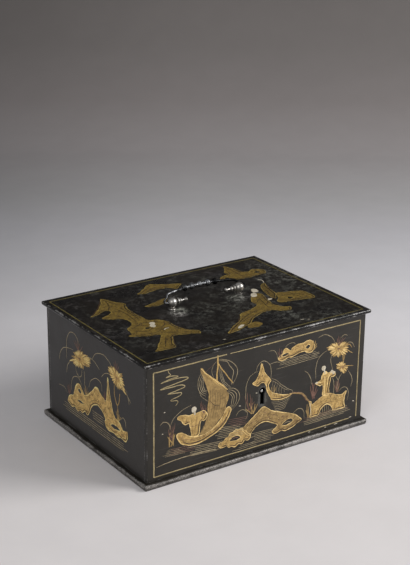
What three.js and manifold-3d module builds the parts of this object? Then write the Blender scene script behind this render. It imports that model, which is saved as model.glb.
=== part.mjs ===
// A cast iron casket: five cast plates screwed together from inside, a hinged lid with a turned
// bail handle, and a box lock behind the front wall. Millimetres, +Z up. The origin is the middle
// of the underside, X runs along the front, and the front faces -Y.
import * as THREE from "three";
import { mergeVertices } from "three/addons/utils/BufferGeometryUtils.js";
import Module from "manifold-3d";

const wasm = await Module();
wasm.setup();

// Clearances
const seatGap = 0.2; // between pieces that are drawn tight together
const runGap = 0.3; // round pieces that turn or slide
const holeGap = 0.3; // radial room of a hole around its screw
const cutOver = 1; // how far a cutting body passes the face it opens

// Cast plates
const caseWidth = 280; // over the side walls, along X
const caseDepth = 208; // over the front and rear walls, along Y
const wallHeight = 126;
const wallThickness = 4.5;
const cornerRound = 1.2; // outer upright corners of the front and rear walls
const baseThickness = 6;
const baseOverhang = 5.2;
const baseNose = 1.6; // rounding of the base's upper edge
const baseUndercut = 1; // how far the base's lower edge draws in
const lidThickness = 4;
const lidOverhang = 4.2;
const lidNose = 1.2;
const plateCorner = 1.5; // plan rounding of the lid's and the base's corners
const lipDepth = 4; // the lid's lip, inside the walls
const lipThickness = 3;
const lipClear = 0.8;

// Side wall flanges and lugs, and their screws
const flangeWidth = 11;
const flangeThickness = 4;
const flangeTopDrop = 7; // flange ends this far below the wall's top
const lugWidth = 13;
const lugDepth = 13;
const lugHeight = 15;
const wallScrewRadius = 1.7;
const wallScrewHeadRadius = 3.2;
const wallScrewHeadHeight = 2;
const wallScrewBite = 2.8; // how deep it enters the front or rear wall
const wallScrewEndInset = 22; // from the ends of the flange
const baseScrewRadius = 2;
const baseScrewHeadRadius = 4.2;
const baseScrewHeadHeight = 2.6;
const baseScrewBite = 10;

// Keyhole and lock
const keyholeX = 2.2;
const keyholeHeight = 73; // centre of its round part, above the underside
const keyholeRadius = 3.7;
const keyholeSlotWidth = 4.2;
const keyholeSlotLength = 14.5; // from the centre of the round part down to the slot's end
const keyholeBevel = 0.9;
const lockPlateThickness = 1.5;
const lockHalfWidth = 58;
const lockDrop = 24; // the lock reaches this far below the keyhole's centre
const lockTopDrop = 5; // and ends this far below the wall's top
const lockCaseDepth = 14;
const lockCaseSkin = 1.4;
const lockEar = 9; // width of the case's screw ears at each side
const lockScrewRadius = 1.5;
const lockScrewHeadRadius = 2.8;
const lockScrewHeadHeight = 1.6;
const lockScrewBite = 2.4;
const keyPinRadius = 1.7;
const keyPinSet = 0.8; // the pin's end lies this far behind the wall's face
const boltThickness = 2.5;
const boltThrow = 8;
const boltBar = 9; // height of the bolt's bars and fingers
const boltWeb = 12;
const boltFingerLength = 13;
const boltTopRoom = 2; // under the lock case's top
const boltTipGap = 1; // from a finger's tip to its staple, drawn back
const boltStem = boltFingerLength + boltTipGap - boltThrow - runGap; // clears its staple at full throw
const boltSpineDrop = 4; // from the fingers down to the spine
const boltSpineEnd = 10; // how far the spine runs past its right-hand stud
const boltTalonRise = 3; // from the keyhole's round part up to the bolt's talon
const talonHalfWidth = 4;
const talonDepth = 5;
const boltStudRadius = 2;
const boltStudHeadRadius = 3.2;
const boltStudHeadHeight = 1;
const boltStudSpread = 22; // each side of the keyhole
const springThickness = 0.8;
const springWidth = 5;
const springFoot = 16; // height of the foot that stands against the case's side
const springRise = 8;
const springReach = 26;
const springBowAngle = 130; // the bow passes its crest at 90 degrees

// Catch plate with its two staples, on the underside of the lid
const catchThickness = 2;
const catchHalfLength = 52;
const catchDepth = 12;
const stapleSpread = 31; // each side of the keyhole
const stapleThickness = 3;
const stapleWidth = 7;
const stapleHoleWidth = 4;
const stapleFoot = 2; // metal under the staple's hole
const catchScrewSpread = 44;

// Fixing screws in the lid, from below
const lidScrewRadius = 1.4;
const lidScrewHeadRadius = 2.6;
const lidScrewHeadHeight = 1.4;
const lidScrewBite = 2.6;

// Hinges
const hingeInset = 56; // from the case's end to a hinge's middle
const hingeWidth = 30;
const knuckleRadius = 2.7;
const hingePinRadius = 1.3;
const hingePinHeadRadius = 2.2;
const hingePinHeadHeight = 0.8;
const leafThickness = 1.6;
const caseLeafHeight = 26;
const lidLeafLength = 30;
const lidStopAngle = 100; // where the tail of the lid leaf meets the case leaf
const stopTailReach = 6.6; // from the pin's centre
const rivetRadius = 1.5;
const rivetHeadRadius = 2.6;
const rivetHeadHeight = 1.1;
const rivetBite = 3;
const rivetPitch = 18;
const rivetDrop = 15.6; // below the hinge line
const leafScrewPitch = 18;
const leafScrewEdge = 4.1; // from the lid leaf's inner end
const leafScrewStep = 10.8; // the second screw lies this much nearer the knuckle

// Handle
const handleX = 6.5; // the handle was fitted a little off the lid's middle
const handleY = 9;
const postSpan = 88;
const pivotHeight = 8.2; // pivot line above the lid
const ballRadius = 5.4;
const postNeckRadius = 2.5;
const postFootRadius = 4.4;
const postFootHeight = 1.5;
const postShankRadius = 2.2;
const postBoreRadius = 2;
const washerRadius = 5.5;
const washerThickness = 1;
const nutAcross = 8;
const nutThickness = 3.6;
const shankPastNut = 1.2;
const trunnionRadius = 1.55;
const bailHeight = 16; // pivot line to the middle of the grip
const bailBow = 4; // how far the grip droops towards its ends
const bowStart = 3; // the bow sets in at this height on the arms
const bowFull = 13; // and is full from this height
const bailArmRadius = 1.6;
const bailRestAngle = 33; // above the level, lying back
const finialReach = 19.5; // from the ball's centre to the tip
const finialSocket = 3.4;

// Heights that follow
const wallBottom = baseThickness + seatGap;
const wallTop = wallBottom + wallHeight;
const lidBottom = wallTop + runGap;
const lidTop = lidBottom + lidThickness;
const innerHalfWidth = caseWidth / 2 - wallThickness;
const innerHalfDepth = caseDepth / 2 - wallThickness;
const sideHalfLength = innerHalfDepth - seatGap;

const degrees = Math.PI / 180;
const segmentsFine = 18;
const segmentsGrip = 12;
const segmentsSmall = 8;

// Finishes
const finishes = {
  lacquer: { color: 0x2b2c2d, roughness: 0.42, metalness: 0.1 },
  iron: { color: 0x4a4a49, roughness: 0.6, metalness: 0.75 },
  steel: { color: 0x8d8e90, roughness: 0.3, metalness: 0.95 },
};

const casket = new THREE.Group();
const lid = new THREE.Group();
const bail = new THREE.Group();
casket.add(lid);

function addMesh(parent, name, geometry, finish) {
  const mesh = new THREE.Mesh(geometry, new THREE.MeshStandardMaterial(finishes[finish]));
  mesh.name = name;
  parent.add(mesh);
  return mesh;
}

// Solids and their joining and cutting
function solid(geometry) {
  const plain = geometry.clone();
  plain.deleteAttribute("normal");
  plain.deleteAttribute("uv");
  const merged = mergeVertices(plain, 1e-4);
  return new wasm.Manifold(
    new wasm.Mesh({
      numProp: 3,
      vertProperties: new Float32Array(merged.attributes.position.array),
      triVerts: new Uint32Array(merged.index.array),
    }),
  );
}

function geometryOf(manifold) {
  const mesh = manifold.getMesh();
  const geometry = new THREE.BufferGeometry();
  geometry.setAttribute("position", new THREE.BufferAttribute(mesh.vertProperties, 3));
  geometry.setIndex(new THREE.BufferAttribute(mesh.triVerts, 1));
  geometry.computeVertexNormals();
  return geometry;
}

// A box between two opposite corners
function box(x0, y0, z0, x1, y1, z1) {
  const geometry = new THREE.BoxGeometry(x1 - x0, y1 - y0, z1 - z0);
  geometry.translate((x0 + x1) / 2, (y0 + y1) / 2, (z0 + z1) / 2);
  return solid(geometry);
}

// A solid of revolution about Z from [radius, height] points, which start and end on the axis
function turned(profile, segments) {
  const points = profile.map(([radius, height]) => new THREE.Vector2(radius, height));
  return solid(new THREE.LatheGeometry(points, segments).rotateX(Math.PI / 2));
}

function cylinder(radius, bottom, top, segments = segmentsSmall) {
  return turned([[0, bottom], [radius, bottom], [radius, top], [0, top]], segments);
}

// A plate between two heights from an outline of [x, y] points
function plate(outline, bottom, top) {
  const shape = new THREE.Shape(outline.map(([x, y]) => new THREE.Vector2(x, y)));
  const geometry = new THREE.ExtrudeGeometry(shape, { depth: top - bottom, bevelEnabled: false });
  return solid(geometry.translate(0, 0, bottom));
}

// Turns a solid modelled along +Z so that it points along another axis
const turnTo = {
  "+X": (part) => part.rotate([0, 90, 0]),
  "-X": (part) => part.rotate([0, -90, 0]),
  "+Y": (part) => part.rotate([-90, 0, 0]),
  "-Y": (part) => part.rotate([90, 0, 0]),
  "-Z": (part) => part.rotate([180, 0, 0]),
};

// An outline in X and Z, given from the front, made into a plate from y0 back to y1
function uprightPlate(outline, y0, y1) {
  return plate(outline, 0, y1 - y0).rotate([90, 0, 0]).translate([0, y1, 0]);
}

// Plan outline of a rectangle with rounded corners
function roundedOutline(halfX, halfY, radius, steps = 3) {
  const points = [];
  const corners = [[1, 1, 0], [-1, 1, 90], [-1, -1, 180], [1, -1, 270]];
  for (const [signX, signY, start] of corners) {
    for (let i = 0; i <= steps; i += 1) {
      const angle = (start + (90 * i) / steps) * degrees;
      points.push([
        signX * (halfX - radius) + radius * Math.cos(angle),
        signY * (halfY - radius) + radius * Math.sin(angle),
      ]);
    }
  }
  return points;
}

// A slab whose edge follows a profile of [inset, height] points from its underside to its top
function edgedSlab(halfX, halfY, corner, profile) {
  const steps = 3;
  const rings = profile.map(([inset, height]) => {
    const radius = Math.max(corner - inset, 0.2);
    return roundedOutline(halfX - inset, halfY - inset, radius, steps).map(([x, y]) => [x, y, height]);
  });
  const count = rings[0].length;
  const positions = rings.flat(2);
  const index = [];
  for (let ring = 0; ring < rings.length - 1; ring += 1) {
    for (let i = 0; i < count; i += 1) {
      const a = ring * count + i;
      const b = ring * count + ((i + 1) % count);
      index.push(a, b, b + count, a, b + count, a + count);
    }
  }
  for (let i = 1; i < count - 1; i += 1) {
    const top = (rings.length - 1) * count;
    index.push(0, i + 1, i);
    index.push(top, top + i, top + i + 1);
  }
  const geometry = new THREE.BufferGeometry();
  geometry.setAttribute("position", new THREE.Float32BufferAttribute(positions, 3));
  geometry.setIndex(index);
  return solid(geometry);
}

// Slotted round-headed screw: its head's underside is at height 0, and its shank points to -Z
function screw(radius, length, headRadius, headHeight) {
  const edge = headHeight * 0.35;
  const body = turned(
    [[0, -length], [radius, -length], [radius, 0], [headRadius, 0], [headRadius, headHeight - edge],
      [headRadius - edge, headHeight], [0, headHeight]],
    segmentsSmall,
  );
  const slot = box(-headRadius, -headHeight / 5, headHeight * 0.6, headRadius, headHeight / 5, headHeight * 2);
  return body.subtract(slot);
}

// Countersunk screw: its flat head's face is at height 0, and its shank points to -Z
function countersunkScrew(radius, length, headRadius, headHeight) {
  const body = turned(
    [[0, -length], [radius, -length], [radius, -headHeight], [headRadius, -headHeight * 0.15],
      [headRadius, 0], [0, 0]],
    segmentsSmall,
  );
  const slotDepth = headHeight * 0.4;
  return body.subtract(box(-headRadius * 2, -0.5, -slotDepth, headRadius * 2, 0.5, cutOver));
}

const screwNumber = (index) => String(index + 1).padStart(2, "0");

// Places of the wall screws: corner signs and heights
const wallScrewPlaces = [];
for (const signX of [-1, 1]) {
  for (const signY of [-1, 1]) {
    for (const height of [wallBottom + wallScrewEndInset, wallTop - flangeTopDrop - wallScrewEndInset]) {
      wallScrewPlaces.push({
        x: signX * (innerHalfWidth - flangeWidth / 2),
        signY,
        height,
      });
    }
  }
}

// Hole for something along Y through a front or rear piece
function holeAlongY(x, z, radius, y0, y1) {
  return cylinder(radius, 0, y1 - y0).rotate([-90, 0, 0]).translate([x, y0, z]);
}

function buildWallScrews() {
  const reach = flangeThickness + seatGap + wallScrewBite;
  wallScrewPlaces.forEach(({ x, signY, height }, index) => {
    const body = screw(wallScrewRadius, reach + seatGap, wallScrewHeadRadius, wallScrewHeadHeight);
    const pointed = signY < 0 ? body.rotate([-90, 0, 0]) : body.rotate([90, 0, 0]);
    const headY = signY * (sideHalfLength - flangeThickness - seatGap);
    const geometry = geometryOf(pointed.translate([x, headY, height]));
    addMesh(casket, `wall_screw_${screwNumber(index)}`, geometry, "iron");
  });
}

const baseScrewPlaces = [];
for (const signX of [-1, 1]) {
  for (const signY of [-1, 1]) {
    baseScrewPlaces.push([signX * (innerHalfWidth - lugWidth / 2), signY * (sideHalfLength - lugDepth / 2)]);
  }
}

function buildBase() {
  const halfX = caseWidth / 2 + baseOverhang;
  const halfY = caseDepth / 2 + baseOverhang;
  const nose = (part) => baseNose * (1 - Math.cos(part * 90 * degrees));
  const rise = (part) => baseThickness - baseNose + baseNose * Math.sin(part * 90 * degrees);
  let body = edgedSlab(halfX, halfY, plateCorner + baseNose / 2, [
    [baseUndercut, 0],
    [0, baseThickness - baseNose * 2],
    [0, rise(0)],
    [nose(1 / 3), rise(1 / 3)],
    [nose(2 / 3), rise(2 / 3)],
    [nose(1), baseThickness],
  ]);
  const headRoom = baseScrewHeadRadius + holeGap;
  const holeRadius = baseScrewRadius + holeGap;
  for (const [x, y] of baseScrewPlaces) {
    const seat = turned(
      [[0, -cutOver], [headRoom, -cutOver], [headRoom, seatGap + baseScrewHeadHeight * 0.3],
        [holeRadius, baseScrewHeadHeight + seatGap * 2], [holeRadius, baseThickness + cutOver],
        [0, baseThickness + cutOver]],
      segmentsSmall,
    );
    body = body.subtract(seat.translate([x, y, 0]));
  }
  addMesh(casket, "base_plate", geometryOf(body), "lacquer");
}

function buildBaseScrews() {
  const length = baseThickness + baseScrewBite;
  baseScrewPlaces.forEach(([x, y], index) => {
    const body = countersunkScrew(baseScrewRadius, length, baseScrewHeadRadius, baseScrewHeadHeight);
    const geometry = geometryOf(turnTo["-Z"](body).translate([x, y, seatGap]));
    addMesh(casket, `base_screw_${screwNumber(index)}`, geometry, "iron");
  });
}

// Round top and slot of the keyhole, from the front
function keyholeOutline(grow) {
  const points = [];
  const radius = keyholeRadius + grow;
  const slot = keyholeSlotWidth / 2 + grow;
  const start = Math.asin(slot / radius);
  const steps = 16;
  for (let i = 0; i <= steps; i += 1) {
    const angle = -Math.PI / 2 + start + ((2 * Math.PI - 2 * start) * i) / steps;
    points.push([keyholeX + radius * Math.cos(angle), keyholeHeight + radius * Math.sin(angle)]);
  }
  points.push([keyholeX - slot, keyholeHeight - keyholeSlotLength - grow]);
  points.push([keyholeX + slot, keyholeHeight - keyholeSlotLength - grow]);
  return points;
}

// A full-width wall with its outer upright corners rounded; outer faces -Y
function crossWall() {
  const outline = [];
  const half = caseWidth / 2;
  const steps = 3;
  outline.push([half, wallThickness]);
  outline.push([-half, wallThickness]);
  for (let i = 0; i <= steps; i += 1) {
    const angle = (180 + (90 * i) / steps) * degrees;
    outline.push([-half + cornerRound * (1 + Math.cos(angle)), cornerRound * (1 + Math.sin(angle))]);
  }
  for (let i = 0; i <= steps; i += 1) {
    const angle = (270 + (90 * i) / steps) * degrees;
    outline.push([half - cornerRound * (1 - Math.cos(angle)), cornerRound * (1 + Math.sin(angle))]);
  }
  return plate(outline, wallBottom, wallTop).translate([0, -caseDepth / 2, 0]);
}

function wallScrewHoles(sign) {
  return wallScrewPlaces
    .filter(({ signY }) => signY === sign)
    .map(({ x, height }) => {
      const depth = wallScrewBite + holeGap;
      const inner = sign * innerHalfDepth;
      const outer = sign * (innerHalfDepth + depth);
      const y0 = Math.min(inner - sign * cutOver, outer);
      const y1 = Math.max(inner - sign * cutOver, outer);
      return holeAlongY(x, height, wallScrewRadius + holeGap, y0, y1);
    });
}

const lockScrewPlaces = [];
for (const signX of [-1, 1]) {
  for (const height of [keyholeHeight - lockDrop + lockEar, wallTop - lockTopDrop - lockEar]) {
    lockScrewPlaces.push([keyholeX + signX * (lockHalfWidth - lockEar / 2), height]);
  }
}

function buildFrontWall() {
  const front = -caseDepth / 2;
  const inner = -innerHalfDepth;
  let body = crossWall();
  body = body.subtract(uprightPlate(keyholeOutline(0), front - cutOver, inner + cutOver));
  body = body.subtract(uprightPlate(keyholeOutline(keyholeBevel), front - cutOver, front + keyholeBevel / 2));
  for (const hole of wallScrewHoles(-1)) {
    body = body.subtract(hole);
  }
  for (const [x, z] of lockScrewPlaces) {
    const deep = inner - lockScrewBite - holeGap;
    body = body.subtract(holeAlongY(x, z, lockScrewRadius + holeGap, deep, inner + cutOver));
  }
  addMesh(casket, "front_wall", geometryOf(body), "lacquer");
}

// Hinge line, just under the lid and behind the rear wall
const hingeY = caseDepth / 2 + seatGap + knuckleRadius;
const hingeZ = lidBottom - seatGap - knuckleRadius;
const hingeSpread = caseWidth / 2 - hingeInset;
const hingePlaces = [["left", -hingeSpread], ["right", hingeSpread]];
const rivetPlaces = [-1, 1].map((sign) => (sign * rivetPitch) / 2);
const rivetHeight = hingeZ - rivetDrop;
const lidLeafScrewPlaces = hingePlaces.flatMap(([, x]) => leafScrewPlaces(x));

function buildRearWall() {
  const inner = innerHalfDepth;
  const outer = caseDepth / 2;
  let body = crossWall().rotate([0, 0, 180]);
  for (const hole of wallScrewHoles(1)) {
    body = body.subtract(hole);
  }
  for (const [, x] of hingePlaces) {
    const half = hingeWidth / 2 + runGap * 2;
    const floor = hingeZ + knuckleRadius - leafThickness - runGap * 2;
    body = body.subtract(box(x - half, inner - cutOver, floor, x + half, outer + cutOver, wallTop + cutOver));
    for (const offset of rivetPlaces) {
      const deep = outer - rivetBite - holeGap;
      body = body.subtract(holeAlongY(x + offset, rivetHeight, rivetRadius + holeGap, deep, outer + cutOver));
    }
  }
  addMesh(casket, "rear_wall", geometryOf(body), "lacquer");
}

// A side wall with its two end flanges and two bottom lugs, on the +X side
function sideWall() {
  const outer = caseWidth / 2;
  const inner = innerHalfWidth;
  const end = sideHalfLength;
  let body = box(inner, -end, wallBottom, outer, end, wallTop);
  for (const sign of [-1, 1]) {
    const y0 = Math.min(sign * end, sign * (end - flangeThickness));
    const flange = box(
      inner - flangeWidth, y0, wallBottom,
      inner + wallThickness / 2, y0 + flangeThickness, wallTop - flangeTopDrop,
    );
    const lugY = Math.min(sign * end, sign * (end - lugDepth));
    const lug = box(inner - lugWidth, lugY, wallBottom, inner + wallThickness / 2, lugY + lugDepth,
      wallBottom + lugHeight);
    body = body.add(flange).add(lug);
    for (const { x, signY, height } of wallScrewPlaces) {
      if (x > 0 && signY === sign) {
        body = body.subtract(
          holeAlongY(x, height, wallScrewRadius + holeGap, y0 - cutOver, y0 + flangeThickness + cutOver),
        );
      }
    }
  }
  for (const [x, y] of baseScrewPlaces) {
    if (x > 0) {
      const top = wallBottom + baseScrewBite + holeGap;
      const hole = cylinder(baseScrewRadius + holeGap, wallBottom - cutOver, top);
      body = body.subtract(hole.translate([x, y, 0]));
    }
  }
  return body;
}

function buildSideWalls() {
  addMesh(casket, "right_wall", geometryOf(sideWall()), "lacquer");
  addMesh(casket, "left_wall", geometryOf(sideWall().rotate([0, 0, 180])), "lacquer");
}

// Lock: the plate lies on the front wall, and the case closes over it
const lockBottom = keyholeHeight - lockDrop;
const lockTop = wallTop - lockTopDrop;
const lockPlateY = -innerHalfDepth + seatGap;
const lockCaseY = lockPlateY + lockPlateThickness + seatGap;
const lockCaseBack = lockCaseY + lockCaseDepth;
const lockInnerHalf = lockHalfWidth - lockEar;
const boltY = lockCaseY + lockCaseDepth / 2 - lockCaseSkin / 2;
const fingerTop = lockTop - lockCaseSkin - boltTopRoom;
const fingerBottom = fingerTop - boltBar;
const spineTop = fingerBottom - boltSpineDrop;
const spineBottom = spineTop - boltBar;
const talonBottom = keyholeHeight + keyholeRadius + boltTalonRise;
const stapleBottom = fingerBottom - runGap - stapleFoot;
const studHeight = spineBottom + boltBar / 2;

function buildLockPlate() {
  const outline = [
    [keyholeX - lockHalfWidth, lockBottom],
    [keyholeX + lockHalfWidth, lockBottom],
    [keyholeX + lockHalfWidth, lockTop],
    [keyholeX - lockHalfWidth, lockTop],
  ];
  let body = uprightPlate(outline, lockPlateY, lockPlateY + lockPlateThickness);
  const past = lockPlateY + lockPlateThickness + cutOver;
  body = body.subtract(uprightPlate(keyholeOutline(holeGap), lockPlateY - cutOver, past));
  for (const [x, z] of lockScrewPlaces) {
    body = body.subtract(holeAlongY(x, z, lockScrewRadius + holeGap, lockPlateY - cutOver, past));
  }
  for (const sign of [-1, 1]) {
    const x = keyholeX + sign * boltStudSpread;
    body = body.subtract(holeAlongY(x, studHeight, boltStudRadius + holeGap, lockPlateY - cutOver, past));
  }
  addMesh(casket, "lock_plate", geometryOf(body), "iron");
}

function buildLockCase() {
  const left = keyholeX - lockInnerHalf;
  const right = keyholeX + lockInnerHalf;
  const skin = lockCaseSkin;
  let body = box(left, lockCaseY, lockBottom, right, lockCaseBack, lockTop);
  const ears = box(keyholeX - lockHalfWidth, lockCaseY, lockBottom, keyholeX + lockHalfWidth, lockCaseY + skin,
    lockTop);
  body = body.add(ears);
  body = body.subtract(box(left + skin, lockCaseY - cutOver, lockBottom + skin, right - skin,
    lockCaseBack - skin, lockTop - skin));
  for (const sign of [-1, 1]) {
    const x = keyholeX + sign * stapleSpread;
    const half = stapleThickness / 2 + runGap * 4;
    const halfY = stapleWidth / 2 + runGap * 4;
    body = body.subtract(box(x - half, boltY - halfY, lockTop - skin - cutOver, x + half, boltY + halfY,
      lockTop + cutOver));
  }
  for (const [x, z] of lockScrewPlaces) {
    const past = lockCaseY + skin + cutOver;
    body = body.subtract(holeAlongY(x, z, lockScrewRadius + holeGap, lockCaseY - cutOver, past));
  }
  const pinHole = holeAlongY(keyholeX, keyholeHeight, keyPinRadius + holeGap / 2, lockCaseBack - skin - cutOver,
    lockCaseBack + cutOver);
  addMesh(casket, "lock_case", geometryOf(body.subtract(pinHole)), "iron");
}

function buildLockScrews() {
  const reach = lockCaseSkin + lockPlateThickness + seatGap * 3 + lockScrewBite;
  lockScrewPlaces.forEach(([x, z], index) => {
    const body = screw(lockScrewRadius, reach, lockScrewHeadRadius, lockScrewHeadHeight);
    const geometry = geometryOf(body.rotate([-90, 0, 0]).translate([x, lockCaseY + lockCaseSkin + seatGap, z]));
    addMesh(casket, `lock_screw_${screwNumber(index)}`, geometry, "iron");
  });
}

// The drill pin that the key slides over, riveted in the back of the lock case
function buildKeyPin() {
  const tip = -caseDepth / 2 + keyPinSet;
  const back = lockCaseBack + seatGap;
  const body = turned(
    [[0, 0], [keyPinRadius + 1, 0], [keyPinRadius + 1, 0.8], [keyPinRadius, 0.8],
      [keyPinRadius, back - tip + 0.2], [keyPinRadius * 0.6, back - tip + 0.8], [0, back - tip + 0.8]],
    segmentsSmall,
  );
  const geometry = geometryOf(body.rotate([90, 0, 0]).translate([keyholeX, back + 0.8, keyholeHeight]));
  addMesh(casket, "key_pin", geometry, "steel");
}

// The bolt: two fingers that shoot to +X through the staples, a spine, and the talon the key moves
function buildBolt() {
  const tip = (sign) => keyholeX + sign * stapleSpread - stapleThickness / 2 - boltTipGap;
  const root = (sign) => tip(sign) - boltFingerLength;
  const spineRight = keyholeX + boltStudSpread + boltSpineEnd;
  const outline = [
    [keyholeX - boltWeb, talonBottom],
    [keyholeX - talonHalfWidth, talonBottom],
    [keyholeX - talonHalfWidth, talonBottom + talonDepth],
    [keyholeX + talonHalfWidth, talonBottom + talonDepth],
    [keyholeX + talonHalfWidth, talonBottom],
    [keyholeX + boltWeb, talonBottom],
    [keyholeX + boltWeb, spineBottom],
    [spineRight, spineBottom],
    [spineRight, spineTop],
    [root(1) + boltStem, spineTop],
    [root(1) + boltStem, fingerBottom],
    [tip(1), fingerBottom],
    [tip(1), fingerTop],
    [root(1), fingerTop],
    [root(1), spineTop],
    [root(-1) + boltStem, spineTop],
    [root(-1) + boltStem, fingerBottom],
    [tip(-1), fingerBottom],
    [tip(-1), fingerTop],
    [root(-1), fingerTop],
    [root(-1), spineBottom],
    [keyholeX - boltWeb, spineBottom],
  ];
  let body = uprightPlate(outline, boltY - boltThickness / 2, boltY + boltThickness / 2);
  for (const sign of [-1, 1]) {
    const x = keyholeX + sign * boltStudSpread;
    const room = boltStudRadius + runGap;
    body = body.subtract(box(x - boltThrow - room, boltY - boltThickness, studHeight - room, x + room,
      boltY + boltThickness, studHeight + room));
  }
  addMesh(casket, "lock_bolt", geometryOf(body), "iron");
}

// Studs that carry the bolt, riveted in the lock plate
function buildBoltStuds() {
  const root = lockPlateY + seatGap;
  const shoulder = boltY - boltThickness / 2 - runGap;
  const tip = boltY + boltThickness / 2 + runGap;
  for (const [name, sign] of [["left", -1], ["right", 1]]) {
    const body = turned(
      [[0, root], [boltStudRadius, root], [boltStudRadius, lockPlateY + lockPlateThickness + seatGap],
        [boltStudHeadRadius, lockPlateY + lockPlateThickness + seatGap], [boltStudHeadRadius, shoulder],
        [boltStudRadius, shoulder], [boltStudRadius, tip], [boltStudHeadRadius, tip],
        [boltStudHeadRadius, tip + boltStudHeadHeight], [0, tip + boltStudHeadHeight]],
      segmentsSmall,
    );
    const x = keyholeX + sign * boltStudSpread;
    addMesh(casket, `bolt_stud_${name}`, geometryOf(body.rotate([-90, 0, 0]).translate([x, 0, studHeight])), "iron");
  }
}

// Leaf spring that stands on the lock case's side and bears up on the bolt's spine
function buildBoltSpring() {
  const wall = keyholeX - lockInnerHalf + lockCaseSkin + seatGap;
  const crest = spineBottom - runGap;
  const bowStart = wall + springThickness;
  const steps = 10;
  const over = [];
  for (let i = 0; i <= steps; i += 1) {
    const part = i / steps;
    const sink = springRise * (1 - Math.sin(part * springBowAngle * degrees));
    over.push([bowStart + springThickness + springReach * part, crest - sink]);
  }
  const under = over.map(([x, z]) => [x, z - springThickness]);
  const heel = crest - springRise;
  const outline = [
    [wall, heel - springFoot],
    [bowStart, heel - springFoot],
    [bowStart, heel - springThickness * 2],
    ...under,
    ...over.reverse(),
    [wall, heel],
  ];
  const body = uprightPlate(outline, boltY - springWidth / 2, boltY + springWidth / 2);
  addMesh(casket, "bolt_spring", geometryOf(body), "steel");
}

// Hinge knuckles run along X; each is a tube with the pin's bore
function knuckle(x0, x1) {
  return cylinder(knuckleRadius, x0, x1, segmentsFine).rotate([0, 90, 0]).translate([0, hingeY, hingeZ]);
}

function knuckleBore(x0, x1) {
  return cylinder(hingePinRadius + runGap / 2, x0 - cutOver, x1 + cutOver, segmentsFine)
    .rotate([0, 90, 0])
    .translate([0, hingeY, hingeZ]);
}

// Two screws, set diagonally, hold each lid leaf
function leafScrewPlaces(x) {
  const first = hingeY - lidLeafLength + leafScrewEdge;
  return [
    [x - leafScrewPitch / 2, first],
    [x + leafScrewPitch / 2, first + leafScrewStep],
  ];
}

function buildHinge(name, x) {
  const half = hingeWidth / 2;
  const third = hingeWidth / 6;
  const wallFace = caseDepth / 2 + seatGap;
  const leafBack = wallFace + leafThickness;
  const room = knuckleRadius + runGap;

  // Case leaf with the two outer knuckles
  let caseLeaf = box(x - half, wallFace, hingeZ - caseLeafHeight, x + half, leafBack, hingeZ);
  caseLeaf = caseLeaf.add(knuckle(x - half, x - third - runGap)).add(knuckle(x + third + runGap, x + half));
  caseLeaf = caseLeaf.subtract(box(x - third - runGap, wallFace - cutOver, hingeZ - room, x + third + runGap,
    hingeY + knuckleRadius + cutOver, hingeZ + room));
  caseLeaf = caseLeaf.subtract(knuckleBore(x - half, x + half));
  for (const offset of rivetPlaces) {
    caseLeaf = caseLeaf.subtract(
      holeAlongY(x + offset, rivetHeight, rivetRadius + holeGap, wallFace - cutOver, leafBack + cutOver),
    );
  }
  addMesh(casket, `hinge_case_leaf_${name}`, geometryOf(caseLeaf), "iron");

  // Lid leaf with the middle knuckle and the tail that stops the lid
  const leafTop = lidBottom - seatGap;
  const inside = hingeY - lidLeafLength;
  let lidLeaf = box(x - half, inside, leafTop - leafThickness, x + half, hingeY - room, leafTop);
  lidLeaf = lidLeaf.add(box(x - third + runGap, hingeY - room - 1, leafTop - leafThickness, x + third - runGap,
    hingeY, leafTop));
  lidLeaf = lidLeaf.add(knuckle(x - third + runGap, x + third - runGap));
  const tailFace = hingeY - leafBack - seatGap;
  const tail = box(x - third + runGap, 0, -tailFace, x + third - runGap, stopTailReach, -tailFace + leafThickness)
    .rotate([lidStopAngle - 90, 0, 0])
    .translate([0, hingeY, hingeZ]);
  lidLeaf = lidLeaf.add(tail).subtract(knuckleBore(x - half, x + half));
  for (const [screwX, screwY] of leafScrewPlaces(x)) {
    const hole = cylinder(lidScrewRadius + holeGap, leafTop - leafThickness - cutOver, leafTop + cutOver);
    lidLeaf = lidLeaf.subtract(hole.translate([screwX, screwY, 0]));
  }
  addMesh(lid, `hinge_lid_leaf_${name}`, geometryOf(lidLeaf), "iron");

  // Pin with a small head at each end
  const end = half + seatGap;
  const pin = turned(
    [[0, -end - hingePinHeadHeight], [hingePinHeadRadius, -end - hingePinHeadHeight],
      [hingePinHeadRadius, -end], [hingePinRadius, -end], [hingePinRadius, end], [hingePinHeadRadius, end],
      [hingePinHeadRadius, end + hingePinHeadHeight], [0, end + hingePinHeadHeight]],
    segmentsFine,
  );
  addMesh(casket, `hinge_pin_${name}`, geometryOf(pin.rotate([0, 90, 0]).translate([x, hingeY, hingeZ])), "steel");
}

function buildHingeRivets() {
  let index = 0;
  for (const [, x] of hingePlaces) {
    for (const offset of rivetPlaces) {
      const reach = leafThickness + seatGap * 2 + rivetBite;
      const dome = rivetHeadHeight * 0.6;
      const body = turned(
        [[0, -reach], [rivetRadius, -reach], [rivetRadius, 0], [rivetHeadRadius, 0],
          [rivetHeadRadius * 0.85, dome], [rivetHeadRadius * 0.4, rivetHeadHeight], [0, rivetHeadHeight]],
        segmentsSmall,
      );
      const y = caseDepth / 2 + seatGap * 2 + leafThickness;
      const geometry = geometryOf(body.rotate([-90, 0, 0]).translate([x + offset, y, rivetHeight]));
      addMesh(casket, `hinge_rivet_${screwNumber(index)}`, geometry, "iron");
      index += 1;
    }
  }
}

// Screws that hold a plate of the given thickness under the lid
function lidScrew(plateThickness) {
  const reach = plateThickness + seatGap * 2 + lidScrewBite;
  return screw(lidScrewRadius, reach, lidScrewHeadRadius, lidScrewHeadHeight).rotate([180, 0, 0]);
}

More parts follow.
